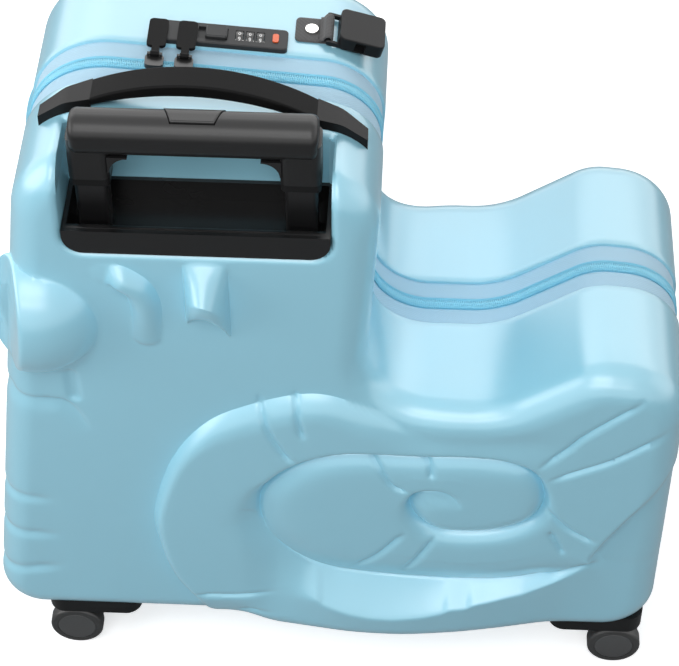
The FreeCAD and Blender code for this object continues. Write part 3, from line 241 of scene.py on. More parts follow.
# woven cloth, the weave follows the length and width of the band
weaves = {
    "zipTape": {"color": (0.5, 0.76, 0.93), "dark": 0.93, "roughness": 0.72, "sheen": 0.25,
                "threads": 390.0, "bump": 0.5},
    "strapWeave": {"color": (0.016, 0.016, 0.017), "dark": 0.6, "roughness": 0.66, "sheen": 0.2,
                   "threads": 260.0, "bump": 0.6},
}


def makeWeave(name, plan):
    material, tree, shader = newMaterial(name)
    place = addNode(tree, "TexCoord").outputs["UV"]
    cross = addNode(tree, "Math")
    cross.operation = "MAXIMUM"
    for i, (direction, share) in enumerate((("DIAGONAL", 0.7), ("X", 1.0))):
        wave = addNode(tree, "TexWave", {"Scale": plan["threads"] * share, "Distortion": 0.4})
        wave.wave_type = "BANDS"
        wave.bands_direction = direction
        linkAll(tree, (place, wave.inputs["Vector"]), (wave.outputs["Fac"], cross.inputs[i]))
    shades = [[c * plan["dark"] for c in plan["color"]], plan["color"]]
    tintAndBump(tree, shader, cross.outputs["Value"], cross.outputs["Value"], shades, plan["bump"], 0.2 * mm)
    setSockets(shader, {"Roughness": plan["roughness"], "Sheen Weight": plan["sheen"]})
    return material


materials = {name: makeFinish(name, plan) for name, plan in finishes.items()}
materials.update({name: makeWeave(name, plan) for name, plan in weaves.items()})
slotFinish = {
    "shell_blue": "shellBlue", "zip_tape": "zipTape", "zip_coil": "coilBlue", "black_metal": "paintedBlack",
    "pull_black": "handleBlack", "lock_plate": "lockGrey", "lock_button": "lockGrey", "dial": "dialBlack",
    "indicator_orange": "signalOrange", "steel": "brightSteel", "webbing": "strapWeave", "grip_black": "gripBlack",
    "tube_black": "tubeBlack", "handle_black": "handleBlack", "black_plastic": "satinBlack",
    "wheel_black": "wheelBlack", "hub_grey": "hubGrey",
}


def dress(mesh, finish):
    mesh.materials.clear()
    mesh.materials.append(materials[finish])


for part in frame["record"]["subparts"]:
    dress(nodes[part["node"]].data, slotFinish[part["material_slot"]])
dress(nodes["trolley_tray"].data, "trayBlack")
print("stage: finishes on all nodes")


# outline helpers, in millimetres on the side plane
def unit(start, end):
    dx, dz = end[0] - start[0], end[1] - start[1]
    size = math.hypot(dx, dz)
    return dx / size, dz / size


def insetCorners(corners, step):
    count = len(corners)
    area = sum(corners[i - 1][0] * corners[i][1] - corners[i][0] * corners[i - 1][1] for i in range(count))
    side = math.copysign(1.0, area)
    moved = []
    for i in range(count):
        ax, ay = unit(corners[i - 1], corners[i])
        bx, by = unit(corners[i], corners[(i + 1) % count])
        reach = step * side / (1 + ax * bx + ay * by)
        convex = (ax * by - ay * bx) * side > 0
        radius = corners[i][2] - step if convex else corners[i][2] + step
        moved.append((corners[i][0] - (ay + by) * reach, corners[i][1] + (ax + bx) * reach, max(radius, 0.01)))
    return moved


def cornerParts(before, here, after):
    ax, ay = unit(here, before)
    bx, by = unit(here, after)
    half = math.acos(max(-1.0, min(1.0, ax * bx + ay * by))) / 2
    reach = here[2] / math.tan(half)
    mx, my = unit((0, 0), (ax + bx, ay + by))
    away = here[2] / math.sin(half)
    centre = (here[0] + mx * away, here[1] + my * away)
    start = (here[0] + ax * reach, here[1] + ay * reach)
    end = (here[0] + bx * reach, here[1] + by * reach)
    return centre, start, end


def cornerRounds(corners):
    total = len(corners)
    return [cornerParts(corners[i - 1], corners[i], corners[(i + 1) % total]) for i in range(total)]


def arcSweep(centre, start, end):
    # the angle at which a rounded corner starts, and how far it turns
    a0 = math.atan2(start[1] - centre[1], start[0] - centre[0])
    a1 = math.atan2(end[1] - centre[1], end[0] - centre[0])
    return a0, (a1 - a0 + math.pi) % (2 * math.pi) - math.pi


def ringPoints(corners, counts):
    points = []
    rounds = cornerRounds(corners)
    for i, (centre, start, end) in enumerate(rounds):
        a0, sweep = arcSweep(centre, start, end)
        radius = corners[i][2]
        arcCount, runCount = counts[i]
        for k in range(arcCount):
            angle = a0 + sweep * k / arcCount
            points.append((centre[0] + radius * math.cos(angle), centre[1] + radius * math.sin(angle)))
        following = rounds[(i + 1) % len(rounds)][1]
        for k in range(runCount):
            t = k / runCount
            points.append((end[0] + (following[0] - end[0]) * t, end[1] + (following[1] - end[1]) * t))
    return np.array(points)


def ringCounts(corners, arcStep, runSteps, whole=math.ceil):
    rounds = cornerRounds(corners)
    counts = []
    for i, (centre, start, end) in enumerate(rounds):
        arc = abs(arcSweep(centre, start, end)[1]) * corners[i][2]
        run = math.dist(end, rounds[(i + 1) % len(rounds)][1])
        counts.append((max(4, whole(arc / arcStep)), max(2, whole(run / runSteps[i]))))
    return counts


def ringNormals(points):
    ahead = np.roll(points, -1, 0) - np.roll(points, 1, 0)
    ahead /= np.linalg.norm(ahead, axis=1)[:, None]
    area = np.sum(points[:, 0] * np.roll(points[:, 1], -1) - np.roll(points[:, 0], -1) * points[:, 1])
    out = np.stack([ahead[:, 1], -ahead[:, 0]], 1)
    return out if area > 0 else -out


def softLine(points, step=3.0):
    p = np.array(points, float)
    padded = np.vstack([2 * p[0] - p[1], p, 2 * p[-1] - p[-2]])
    line = []
    for i in range(1, len(padded) - 2):
        a, b, c, d = padded[i - 1:i + 3]
        steps = max(2, int(np.linalg.norm(c - b) / step))
        for k in range(steps):
            t = k / steps
            line.append(0.5 * (2 * b + (c - a) * t + (2 * a - 5 * b + 4 * c - d) * t * t
                               + (3 * b - a - 3 * c + d) * t ** 3))
    line.append(p[-1])
    return np.array(line)


def lineDistance(line, x, z, batch=4000):
    # distance to a line, side of it (left positive), and share along it
    a, b = line[:-1], line[1:]
    run = b - a
    size = np.sum(run * run, 1)
    best, side, along = np.empty((3, len(x)))
    for start in range(0, len(x), batch):
        part = slice(start, start + batch)
        px = x[part, None] - a[None, :, 0]
        pz = z[part, None] - a[None, :, 1]
        t = np.clip((px * run[:, 0] + pz * run[:, 1]) / size, 0, 1)
        gap = (px - t * run[:, 0]) ** 2 + (pz - t * run[:, 1]) ** 2
        pick = np.argmin(gap, 1)
        rows = np.arange(len(pick))
        best[part] = np.sqrt(gap[rows, pick])
        side[part] = np.sign(run[pick, 0] * pz[rows, pick] - run[pick, 1] * px[rows, pick])
        along[part] = (pick + t[rows, pick]) / len(a)
    return best, side, along


def runAlong(line):
    return np.concatenate([[0], np.cumsum(np.hypot(*np.diff(line, axis=0).T))])


def circle(count):
    turns = [2 * math.pi * k / count for k in range(count)]
    return [(math.cos(turn), math.sin(turn)) for turn in turns]


def ease(t):
    t = np.clip(t, 0, 1)
    return t * t * (3 - 2 * t)


def easeFrom(value, start, over):
    return ease((value - start) / over)


# moulded half shells with the sculpted side
shellPlan = {
    "corners": [(-247.8, 46, 32), (-192, 509.5, 55), (38, 491.5, 44), (26, 292, 42),
                (117, 292, 59.7), (180, 336, 38.1), (244, 330, 44.9), (244, 46, 38)],
    "depth": 102, "rim": 20, "rimRound": 1.2, "wall": 3, "edge": 22,
    "arcStep": 2.2, "runSteps": [2.2, 1.3, 3.5, 3, 3, 3, 3.5, 2.6],
    "sideRows": (26, 33, 40, 44, 46.5, 48.5, 50, 56, 62, 68, 74), "edgeRows": 16,
    "grid": 1.9, "gridX": (-250, 250), "gridZ": (40, 515), "fineRoom": 0.75, "gridRoom": 1.1, "edgeRoom": 1,
    "pocketMiddle": -80, "pocketHalf": 85.5, "pocketFloor": 431.5, "pocketBack": 50, "pocketCorner": 14,
    "pocketRound": 5, "pocketSoft": 4, "pocketOut": 170, "pocketTop": 600, "sharpAngle": 38,
}
reliefPlan = {
    # pairs named From or End give where an easing starts and over how many millimetres it runs
    "bandHeight": 10, "bandSteep": 8, "bandSoft": 22, "bandRound": 2.2, "softFromX": (-105, 60),
    "softFromZ": (190, 70), "bandEnd": (15, 75), "footFade": 0.8, "footFromX": (-75, 50), "footFromZ": (48, 40),
    "bandEdge": [(-80, 20), (-93, 67), (-112, 105), (-120, 140), (-121, 177), (-105, 234), (-79, 273), (-45, 294),
                 (-15, 304), (6, 303), (34, 290), (57, 276), (95, 262), (160, 262), (260, 262)],
    "valleyDeep": 2.5, "valleyZ": 268, "valleyWide": 13, "valleyFrom": (30, 50), "valleyEnd": (120, 60),
    "spiral": [(193, 139), (186, 132), (168, 121), (144, 112), (119, 107), (82, 107), (45, 109), (10, 114),
               (-12, 123), (-29, 138), (-41, 157), (-46, 180), (-43, 205), (-30, 225), (-11, 240), (10, 248),
               (31, 250), (66, 249), (101, 250), (126, 247), (143, 238), (152, 221), (154, 202), (147, 185),
               (130, 173), (107, 167), (83, 168), (68, 178), (61, 191), (61, 203), (67, 212), (80, 214),
               (91, 208), (96, 198)],
    "spiralDeep": 8.6, "spiralRound": 1.6, "lineDeep": 2.8, "lineWide": 1.5,
    "spiralShare": [0, 0.06, 0.33, 0.38, 0.44, 0.66, 0.74, 0.81, 0.89, 0.94, 1],
    "outerWide": [5, 5, 8, 12, 3.2, 2.4, 3, 6, 7, 2.6, 2.2], "innerWide": [13, 14, 16, 14, 9, 9, 6, 6, 6, 9, 9],
    "spiralSize": [0, 1, 1, 1, 0.85, 0.75, 0.7, 0.75, 0.75, 0.8, 0],
    "notchDeep": 1.4, "notch": (82, 206), "notchSize": (11, 6),
    "lipFloor": 0.6, "lipFloorRear": 2, "lipFloorFrom": (180, 12), "lipFoot": 52, "lipFrom": (-62, 30),
    "lipTurn": 3, "lipTurnMore": 7, "lipTurnFrom": (160, 25), "shelfCurve": 1.1, "crestRound": 0.8, "deepest": -1,
    "crestX": [-60, -45, -35, -21, -5, -2, 16, 33, 51, 71, 87, 91, 104, 108, 120, 144, 167, 190, 197, 206, 230],
    "crestZ": [108, 103, 98, 94.5, 95.5, 91, 85.5, 82, 81.5, 84, 88, 91.5, 92.5, 96, 98, 103, 116, 132, 131, 125,
               118],
    "crestOut": [8, 8, 9, 13, 18, 19, 22, 23, 23, 22, 20, 19.5, 18.5, 18, 15.5, 11, 8.5, 5.5, 4, 2.5, 2],
    "rootX": [-60, -45, -41, -29, -12, 10, 45, 82, 119, 144, 168, 186, 193, 206, 230],
    "rootZ": [190, 176, 157, 138, 123, 114, 109, 107, 107, 112, 121, 136, 139, 138, 138],
    "footX": [-130, -80, -31, 20, 58, 97, 134, 167, 230], "footOut": [2, 6, 12.7, 18.8, 19.6, 15.7, 9.3, 2, 2],
    "lipTables": [("crestX", "crestZ", 2), ("crestX", "crestOut", 9), ("rootX", "rootZ", 6),
                  ("footX", "footOut", 12)],  # the last number is how far corners are softened
    "creases": [
        [(-44, 302), (-39, 278), (-27, 250), (-19, 242)], [(-19, 306), (-18, 290), (-14, 268)],
        [(213, 316), (178, 282), (166, 266), (149, 246)], [(232, 285), (199, 257), (175, 243), (157, 233)],
        [(-95, 86), (-60, 88), (-29, 96)], [(-64, 67), (-37, 69), (-10, 76)],
        [(32, 250), (40, 236), (48, 221), (59, 214)], [(68, 250), (73, 243), (75, 230)],
        [(23, 126), (39, 143), (56, 167)], [(58, 122), (68, 142), (78, 162)],
        [(156, 200), (172, 180), (192, 165)], [(160, 176), (171, 151)],
    ],
    "creaseDeep": 2.5, "creaseWide": 2.1, "creaseTaper": 6, "creaseLeast": 0.2,
    "tailEdge": [(262, 262), (244, 245), (232, 228), (210, 191), (194, 160), (189, 143), (198, 128), (210, 100),
                 (214, 60), (214, 20)],
    "tailDrop": 8, "tailWide": 8, "tailFrom": (140, 40),
    "eye": (-191, 366), "eyeRadius": 50, "eyeSunk": 79, "eyeFlat": 18.5, "eyeRim": 2.2, "eyeTurn": 16,
    "eyeTilt": 5, "eyeBack": 97, "eyeBackDeep": 13, "skirtRadius": 44.4, "skirtRise": 2.6, "skirtFade": 3,
    "hook": [(-139, 414), (-130, 411), (-120, 402), (-115.5, 390), (-115, 375), (-116, 357)],
    "hookRise": 9.5, "hookWide": 9.6, "hookRound": 0.85, "hookSink": 0.65, "hookFrom": (-0.04, 0.2),
    "stubMiddle": -75, "stubHalf": 14, "stubTop": 426, "stubRise": 20, "stubFall": 27, "stubRound": 0.75,
    "stubCrest": 405, "stubCrestMiddle": -77, "stubCrestDrop": (12, 16),
    "mouth": [(-300, 300), (-222, 297), (-214, 294), (-207, 290), (-193, 289), (-178, 288), (-170, 279),
              (-164, 265), (-160, 256)],
    "mouthStep": 6, "mouthDeep": 2.7, "mouthEnd": (0.8, 0.2), "mouthWide": (2.4, 9),
    "dimple": [(-170, 316), (-169, 294)], "dimpleDeep": 2.2, "faceDeepest": 2.75,
    "belly": [[(-300, 184), (-232, 182), (-192, 181)], [(-300, 141), (-232, 140), (-192, 141)],
              [(-300, 92), (-240, 94), (-190, 105)]],
    "bellyDeep": 2.3, "bellyEnd": (189, 26), "grooveWide": 4.4,
}


def softTable(places, values, soft, x, grid=0.5):
    # values along x without corners at the listed places
    fine = np.arange(places[0] - 40, places[-1] + 40, grid)
    reach = np.arange(-3 * soft, 3 * soft + grid / 2, grid)
    weight = np.exp(-(reach / soft) ** 2)
    rough = np.interp(np.arange(fine[0] + reach[0], fine[-1] + reach[-1] + grid / 2, grid), places, values)
    return np.interp(x, fine, np.convolve(rough, weight / weight.sum(), "valid")[:len(fine)])


def bandRelief(plan, x, z):
    # the broad band that rises from the side and runs out under the seat
    gap, side, _ = lineDistance(softLine(plan["bandEdge"]), x, z)
    widen = (plan["bandSoft"] - plan["bandSteep"]) * easeFrom(x, *plan["softFromX"]) * easeFrom(z, *plan["softFromZ"])
    inside = np.clip(-side * gap / (plan["bandSteep"] + widen), 0, 1)
    step = 1 - (1 - inside) ** plan["bandRound"]
    fade = 1 - easeFrom(x, *plan["bandEnd"])
    height = plan["bandHeight"] * (step * fade + 1 - fade)
    foot = plan["footFade"] * (1 - easeFrom(z, *plan["footFromZ"])) * (1 - easeFrom(x, *plan["footFromX"]))
    return height * (1 - foot)


def seatValley(plan, x, z):
    hollow = np.exp(-((z - plan["valleyZ"]) / plan["valleyWide"]) ** 2)
    return plan["valleyDeep"] * (hollow * easeFrom(x, *plan["valleyFrom"]) * (1 - easeFrom(x, *plan["valleyEnd"])))


def spiralGroove(plan, x, z):
    gap, side, along = lineDistance(softLine(plan["spiral"]), x, z)
    outer, inner, size = [np.interp(along, plan["spiralShare"], plan[name])
                          for name in ("outerWide", "innerWide", "spiralSize")]
    wide = np.where(side > 0, outer, inner)
    broad = plan["spiralDeep"] * np.exp(-(gap / wide) ** plan["spiralRound"])
    return size * (broad + plan["lineDeep"] * np.exp(-(gap / plan["lineWide"]) ** 2))


def creaseGroove(plan, crease, x, z):
    gap, _, along = lineDistance(softLine(crease), x, z)
    taper = np.minimum(1, plan["creaseTaper"] * np.minimum(along, 1 - along) + plan["creaseLeast"])
    return plan["creaseDeep"] * taper * np.exp(-(gap / plan["creaseWide"]) ** 2)


def lipRelief(plan, x, z):
    # the rolled lip under the spiral: a shelf that climbs to a crest, and the swelling below it
    crestZ, crestOut, rootZ, footOut = [softTable(plan[places], plan[values], soft, x)
                                        for places, values, soft in plan["lipTables"]]
    climb = np.clip((rootZ - z) / np.maximum(rootZ - crestZ, 3), 0, 2)
    low = plan["lipFloor"] + (plan["lipFloorRear"] - plan["lipFloor"]) * easeFrom(x, *plan["lipFloorFrom"])
    shelf = low + (crestOut - low) * climb ** plan["shelfCurve"]
    under = crestOut + (footOut - crestOut) * np.clip((crestZ - z) / (crestZ - plan["lipFoot"]), -1, 1)
    crestRound = plan["crestRound"]
    lip = -crestRound * np.log(np.exp(-shelf / crestRound) + np.exp(-under / crestRound))
    turn = plan["lipTurn"] + plan["lipTurnMore"] * easeFrom(x, *plan["lipTurnFrom"])
    return lip, easeFrom(x, *plan["lipFrom"]) * ease((rootZ + turn / 2 - z) / turn)


def whorlRelief(plan, x, z):
    height = bandRelief(plan, x, z)
    raised = height / plan["bandHeight"]
    height = height - seatValley(plan, x, z) - spiralGroove(plan, x, z)
    (notchX, notchZ), (notchLong, notchHigh) = plan["notch"], plan["notchSize"]  # at the spiral's inner end
    height -= plan["notchDeep"] * np.exp(-((x - notchX) / notchLong) ** 2 - ((z - notchZ) / notchHigh) ** 2)
    for crease in plan["creases"]:
        height -= creaseGroove(plan, crease, x, z)
    gap, side, _ = lineDistance(softLine(plan["tailEdge"]), x, z)
    beyond = np.where(side > 0, gap, 0)
    height -= plan["tailDrop"] * ease(beyond / plan["tailWide"]) * easeFrom(x, *plan["tailFrom"]) * raised
    lip, share = lipRelief(plan, x, z)
    return np.maximum(height * (1 - share) + lip * share, plan["deepest"])


def stubCrest(plan, x):
    across = (x - plan["stubCrestMiddle"]) / plan["stubHalf"]
    return plan["stubCrest"] - np.where(across < 0, *plan["stubCrestDrop"]) * across ** 2


def faceRelief(plan, x, z):
    fromEye = np.hypot(x - plan["eye"][0], z - plan["eye"][1]) - plan["skirtRadius"]
    height = plan["skirtRise"] * np.exp(-np.clip(fromEye + 2, 0, None) / plan["skirtFade"])
    gap, _, along = lineDistance(softLine(plan["hook"]), x, z)
    roll = (1 - np.clip(gap / plan["hookWide"], 0, 1) ** 2) ** plan["hookRound"]
    height += plan["hookRise"] * easeFrom(along, *plan["hookFrom"]) * (1 - plan["hookSink"] * along ** 2) * roll
    across = np.clip((x - plan["stubMiddle"]) / plan["stubHalf"], -1, 1)
    crest = stubCrest(plan, x)
    ramp = np.clip((plan["stubTop"] - z) / (plan["stubTop"] - crest), 0, 1)
    fall = (1 - np.clip((crest - z) / plan["stubFall"], 0, 1) ** 2) ** plan["stubRound"]
    return height + plan["stubRise"] * np.sqrt(1 - across ** 2) * np.where(z > crest, ramp, fall)


def besideLine(line, offsets, step):
    # rows of points along a line and beside it, so that edges of the mesh follow the edges of the relief
    run = runAlong(line)
    at = np.linspace(0, run[-1], max(3, int(run[-1] / step)))
    place = np.stack([np.interp(at, run, line[:, 0]), np.interp(at, run, line[:, 1])], 1)
    ahead = np.gradient(place, axis=0)
    ahead /= np.linalg.norm(ahead, axis=1)[:, None]
    left = np.stack([-ahead[:, 1], ahead[:, 0]], 1)
    return np.vstack([place + left * offset for offset in offsets])


# rows of mesh points: how far beside each line, and the step along it
besidePlan = {
    "bandEdge": ((1.2, 0, -1, -2, -3.1, -4.4, -6), 1.5), "spiral": ((0, 0.8, -0.8, 1.7, -1.7, 3, -3), 1.4),
    "crest": ((0, 0.9, -0.9, 2.2, -2.2), 1.3), "tailEdge": ((0, 1.5, -1.5, 3.5, 6, 9), 1.6),
    "hook": ([side * reliefPlan["hookWide"] * share for side in (1, -1) for share in (1.07, 1, 0.93, 0.8)], 1.4),
    "mouth": ((0, 1.3, -1.3, 2.8, -2.8), 1.5), "crease": ((0, 0.9, -0.9, 2, -2), 1.4),
    "belly": ((0, 1.4, -1.4, 3, -3), 1.5), "stubCrest": ((0, 0.9, -0.9, 2.2, -2.2), 1.2),
    "skirt": (-1.5, 0, 1.5, 3, 5), "skirtCount": 200,
    "stubShares": (0.9, 0.96, 0.99, 1.0, 1.04), "stubLow": 345, "stubCount": 60,
}


def reliefPoints(plan, beside):
    lines = [(name, softLine(plan[name])) for name in ("bandEdge", "spiral")]
    lines.append(("crest", np.stack([plan["crestX"], plan["crestZ"]], 1)))
    lines += [(name, softLine(plan[name])) for name in ("tailEdge", "hook")]
    lines.append(("mouth", softLine(plan["mouth"], plan["mouthStep"])))
    lines += [("crease", softLine(crease)) for crease in plan["creases"]]
    lines += [("belly", np.array(line, float)) for line in plan["belly"]]
    rows = [besideLine(line, *beside[name]) for name, line in lines]
    turns = np.array(circle(beside["skirtCount"]))
    rows += [plan["eye"] + (plan["skirtRadius"] + out) * turns for out in beside["skirt"]]
    middle, half, count = plan["stubMiddle"], plan["stubHalf"], beside["stubCount"]
    z = np.linspace(beside["stubLow"], plan["stubTop"] + 1, count)
    for share in beside["stubShares"]:
        rows += [np.stack([np.full(count, middle + side * share * half), z], 1) for side in (1, -1)]
    x = np.linspace(middle - half, middle + half, 30)
    rows.append(besideLine(np.stack([x, stubCrest(plan, x)], 1), *beside["stubCrest"]))
    return np.vstack(rows)


def thinOut(points, others, room):
    # the points that keep their distance from the others
    tree = KDTree(len(others))
    for i, p in enumerate(others):
        tree.insert((p[0], p[1], 0), i)
    tree.balance()
    return np.array([p for p in points if tree.find((p[0], p[1], 0))[2] > room])


def spaced(points, room):
    cells = {}
    kept = []
    for x, z in points:
        cell = (math.floor(x / room), math.floor(z / room))
        near = [q for i in (-1, 0, 1) for j in (-1, 0, 1) for q in cells.get((cell[0] + i, cell[1] + j), [])]
        if all(math.dist(q, (x, z)) > room for q in near):
            cells.setdefault(cell, []).append((x, z))
            kept.append((x, z))
    return np.array(kept)


def frontGrooves(plan, x, z):
    # shallow lines that run round the front corner, measured along the surface normal
    gap, side, along = lineDistance(softLine(plan["mouth"], plan["mouthStep"]), x, z)
    depth = plan["mouthDeep"] * (1 - easeFrom(along, *plan["mouthEnd"]))
    depth = depth * np.exp(-(gap / np.where(side > 0, *plan["mouthWide"])) ** 2)
    gap, _, _ = lineDistance(np.array(plan["dimple"], float), x, z)
    depth = np.minimum(depth + plan["dimpleDeep"] * np.exp(-(gap / plan["grooveWide"]) ** 4), plan["faceDeepest"])
    for line in plan["belly"]:
        gap, _, _ = lineDistance(np.array(line, float), x, z)
        depth += plan["bellyDeep"] * np.exp(-(gap / plan["grooveWide"]) ** 2) * easeFrom(-x, *plan["bellyEnd"])
    return depth


def pocketDrop(plan, x, y, z):
    # the rounded mouth of the trolley pocket
    corner = plan["pocketCorner"]
    dx = np.abs(x - plan["pocketMiddle"]) - (plan["pocketHalf"] - corner)
    dz = plan["pocketFloor"] + corner - z
    flat = np.hypot(np.maximum(dx, 0), np.maximum(dz, 0)) + np.minimum(np.maximum(dx, dz), 0) - corner
    away = np.hypot(np.maximum(flat, 0), np.maximum(y + plan["pocketBack"], 0))
    room = plan["pocketRound"]
    lean = np.clip(room - away, 0, room)
    return room - np.sqrt(room * room - lean * lean)


def insideOf(loop, x, z):
    hit = np.zeros(len(x), bool)
    ends = np.roll(loop, -1, 0)
    for (ax, az), (bx, bz) in zip(loop, ends):
        if az == bz:
            continue
        crosses = (az > z) != (bz > z)
        hit ^= crosses & (x < (bx - ax) * (z - az) / (bz - az) + ax)
    return hit


def smoothMesh(mesh, sharpAngle):
    mesh.polygons.foreach_set("use_smooth", [True] * len(mesh.polygons))
    mesh.set_sharp_from_angle(angle=math.radians(sharpAngle))


def newObject(name, vertices, faces, finish=None, sharpAngle=None):
    mesh = bpy.data.meshes.new(name)
    mesh.from_pydata([tuple(v) for v in vertices], [], [tuple(f) for f in faces])
    piece = bpy.data.objects.new(name, mesh)
    scene.collection.objects.link(piece)
    build = bmesh.new()
    build.from_mesh(mesh)
    bmesh.ops.recalc_face_normals(build, faces=build.faces)
    build.to_mesh(mesh)
    build.free()
    if finish:
        dress(mesh, finish)
    if sharpAngle:
        smoothMesh(mesh, sharpAngle)
    return piece


def stackFaces(rows, columns):
    faces = []
    for r in range(rows - 1):
        for c in range(columns):
            d = (c + 1) % columns
            faces.append((r * columns + c, r * columns + d, (r + 1) * columns + d, (r + 1) * columns + c))
    return faces


def closedStack(rows, columns, base=0):
    # a closed solid from rows of points that are numbered from base on
    faces = stackFaces(rows, columns) + [range(columns), range((rows - 1) * columns, rows * columns)]
    return [tuple(base + i for i in face) for face in faces]


def cutWith(piece, cutter, operation="DIFFERENCE"):
    change = piece.modifiers.new("cut", "BOOLEAN")
    change.operation = operation
    change.solver = "EXACT"
    change.object = cutter
    graph = bpy.context.evaluated_depsgraph_get()
    result = bpy.data.meshes.new_from_object(piece.evaluated_get(graph))
    piece.modifiers.clear()
    old = piece.data
    piece.data = result
    bpy.data.meshes.remove(old)
    bpy.data.objects.remove(cutter)


def shellSkin(plan, relief, withPocket):
    # closed solid of the outside: rim, wall, rounded edge, then the sculpted side
    counts = ringCounts(plan["corners"], plan["arcStep"], plan["runSteps"])
    outer = ringPoints(plan["corners"], counts)
    normal = ringNormals(outer)
    columns = len(outer)
    edge, depth, rim, rimRound = [plan[name] for name in ("edge", "depth", "rim", "rimRound")]
    rows = [(rimRound, rim, 0.0), (0.35, rim + 0.35, 0.0), (0.0, rim + rimRound, 0.0)]
    rows += [(0.0, y, 0.0) for y in (*plan["sideRows"], depth - edge)]
    rows += [(edge * (1 - math.cos(t)), depth - edge * (1 - math.sin(t)), math.sin(t))
             for t in np.linspace(0, math.pi / 2, plan["edgeRows"])[1:]]
    stack = []
    for step, y, lean in rows:
        ring = ringPoints(insetCorners(plan["corners"], step), counts) if step > 0 else outer
        flat = math.sqrt(max(0.0, 1 - lean * lean))
        n = np.stack([normal[:, 0] * flat, np.full(columns, -lean), normal[:, 1] * flat], 1)
        stack.append((np.stack([ring[:, 0], np.full(columns, -y), ring[:, 1]], 1), n, y >= depth - edge))
    loop = stack[-1][0][:, [0, 2]]
    gridX, gridZ = [np.arange(*plan[name], plan["grid"]) for name in ("gridX", "gridZ")]
    grid = np.stack([g.ravel() for g in np.meshgrid(gridX, gridZ)], 1)
    fine = spaced(reliefPoints(relief, besidePlan), plan["fineRoom"])
    inner = np.vstack([fine, thinOut(grid, fine, plan["gridRoom"])])
    inner = inner[insideOf(loop, *inner.T)]
    gap, _, _ = lineDistance(np.vstack([loop, loop[:1]]), *inner.T)
    inner = inner[gap > plan["edgeRoom"]]
    flatPoints = [Vector(p) for p in (*loop, *inner)]
    found = delaunay_2d_cdt(flatPoints, [(i, (i + 1) % columns) for i in range(columns)], [], 1, 1e-5)
    origin = [ids[0] for ids in found[3]]
    base = (len(rows) - 1) * columns
    side = np.stack([inner[:, 0], np.full(len(inner), -depth), inner[:, 1]], 1)
    places = np.vstack([s[0] for s in stack] + [side])
    normals = np.vstack([s[1] for s in stack] + [np.tile((0.0, -1.0, 0.0), (len(inner), 1))])
    lifted = np.concatenate([np.full(columns, float(s[2])) for s in stack] + [np.ones(len(inner))])
    x, z = places[:, 0].copy(), places[:, 2].copy()
    push = -frontGrooves(relief, x, z)
    if withPocket:
        push -= pocketDrop(plan, x, places[:, 1], z)
    places = places + normals * push[:, None]
    places[:, 1] -= (whorlRelief(relief, x, z) + faceRelief(relief, x, z)) * lifted
    faces = stackFaces(len(rows), columns)
    faces += [tuple(base + origin[i] for i in f) for f in found[2]]
    faces.append(tuple(range(columns)))
    return places, faces


def eyeBall(relief):
    turn, tilt = math.radians(relief["eyeTurn"]), math.radians(relief["eyeTilt"])
    look = Vector((-math.cos(turn) * math.cos(tilt), -math.sin(turn) * math.cos(tilt), math.sin(tilt)))
    side = look.cross(Vector((0, 0, 1))).normalized()
    up = side.cross(look)
    centre = Vector((relief["eye"][0], -relief["eyeSunk"], relief["eye"][1]))
    radius, flat, back, deep = [relief[name] for name in ("eyeRadius", "eyeFlat", "eyeBack", "eyeBackDeep")]
    edge = math.acos((flat - relief["eyeRim"]) / radius)
    rim = radius * math.sin(edge)
    rows = [(rim * 0.45, flat + 0.5), (rim * 0.8, flat + 0.3), (rim - 4.0, flat), (rim - 2.2, flat - 0.35),
            (rim - 0.9, flat - 1.1)]
    rows += [(radius * math.sin(a), radius * math.cos(a)) for a in np.linspace(edge, math.pi * 0.9, 64)]
    columns = 120
    points = []
    for out, ahead in rows:
        for across, over in circle(columns):
            place = centre + look * ahead + (side * across + up * over) * out
            behind = place.y + back
            if behind > 0:  # the ball is flatter towards the zip
                place.y = -back + deep * (1 - math.exp(-behind / deep))
            points.append(place)
    return points, closedStack(len(rows), columns)


def slabSolid(corners, yFrom, yTo, arcStep=3.0, softBack=0.0):
    counts = ringCounts(corners, arcStep, [6.0] * len(corners))
    ring = ringPoints(corners, counts)
    rows = [(ring, yFrom)]
    if softBack:
        inner = ringPoints(insetCorners(corners, softBack), counts)
        rows += [(ring, yTo - softBack), ((ring + 2 * inner) / 3, yTo - softBack * 0.3), (inner, yTo)]
    else:
        rows.append((ring, yTo))
    return [(px, y, pz) for points, y in rows for px, pz in points], closedStack(len(rows), len(ring))


def hollowSolid(plan):
    # the space inside a half, open past the rim
    wall = plan["wall"]
    corners = insetCorners(plan["corners"], wall)
    counts = ringCounts(corners, 4.0, [12.0] * len(corners))
    soft, back = plan["edge"] - wall, plan["depth"] - wall
    rows = [(0.0, plan["rim"] - 4), (0.0, back - soft)]
    rows += [(soft * (1 - math.cos(t)), back - soft * (1 - math.sin(t))) for t in np.linspace(0, math.pi / 2, 8)[1:]]
    points = []
    for step, y in rows:
        ring = ringPoints(insetCorners(corners, step) if step > 0 else corners, counts)
        points += [(px, -y, pz) for px, pz in ring]
    return points, closedStack(len(rows), len(points) // len(rows))


def pocketCorners(plan, grow):
    left, right = [plan["pocketMiddle"] + side * (plan["pocketHalf"] + grow) for side in (-1, 1)]
    low, top, radius = plan["pocketFloor"] - grow, plan["pocketTop"], plan["pocketCorner"] + grow
    return [(left, low, radius), (right, low, radius), (right, top, 0.5), (left, top, 0.5)]


# holes for the caster stems, and for the trolley legs in the pocket's floor
shellHoles = {"swivel": [(-175.0, 78.0), (203.0, 78.0)], "swivelRadius": 11.3, "swivelZ": (30.0, 70.0),
              "legs": [-146.0, -14.0], "legY": -77.0, "legSize": (24.8, 18.8), "legZ": (415.0, 433.0)}


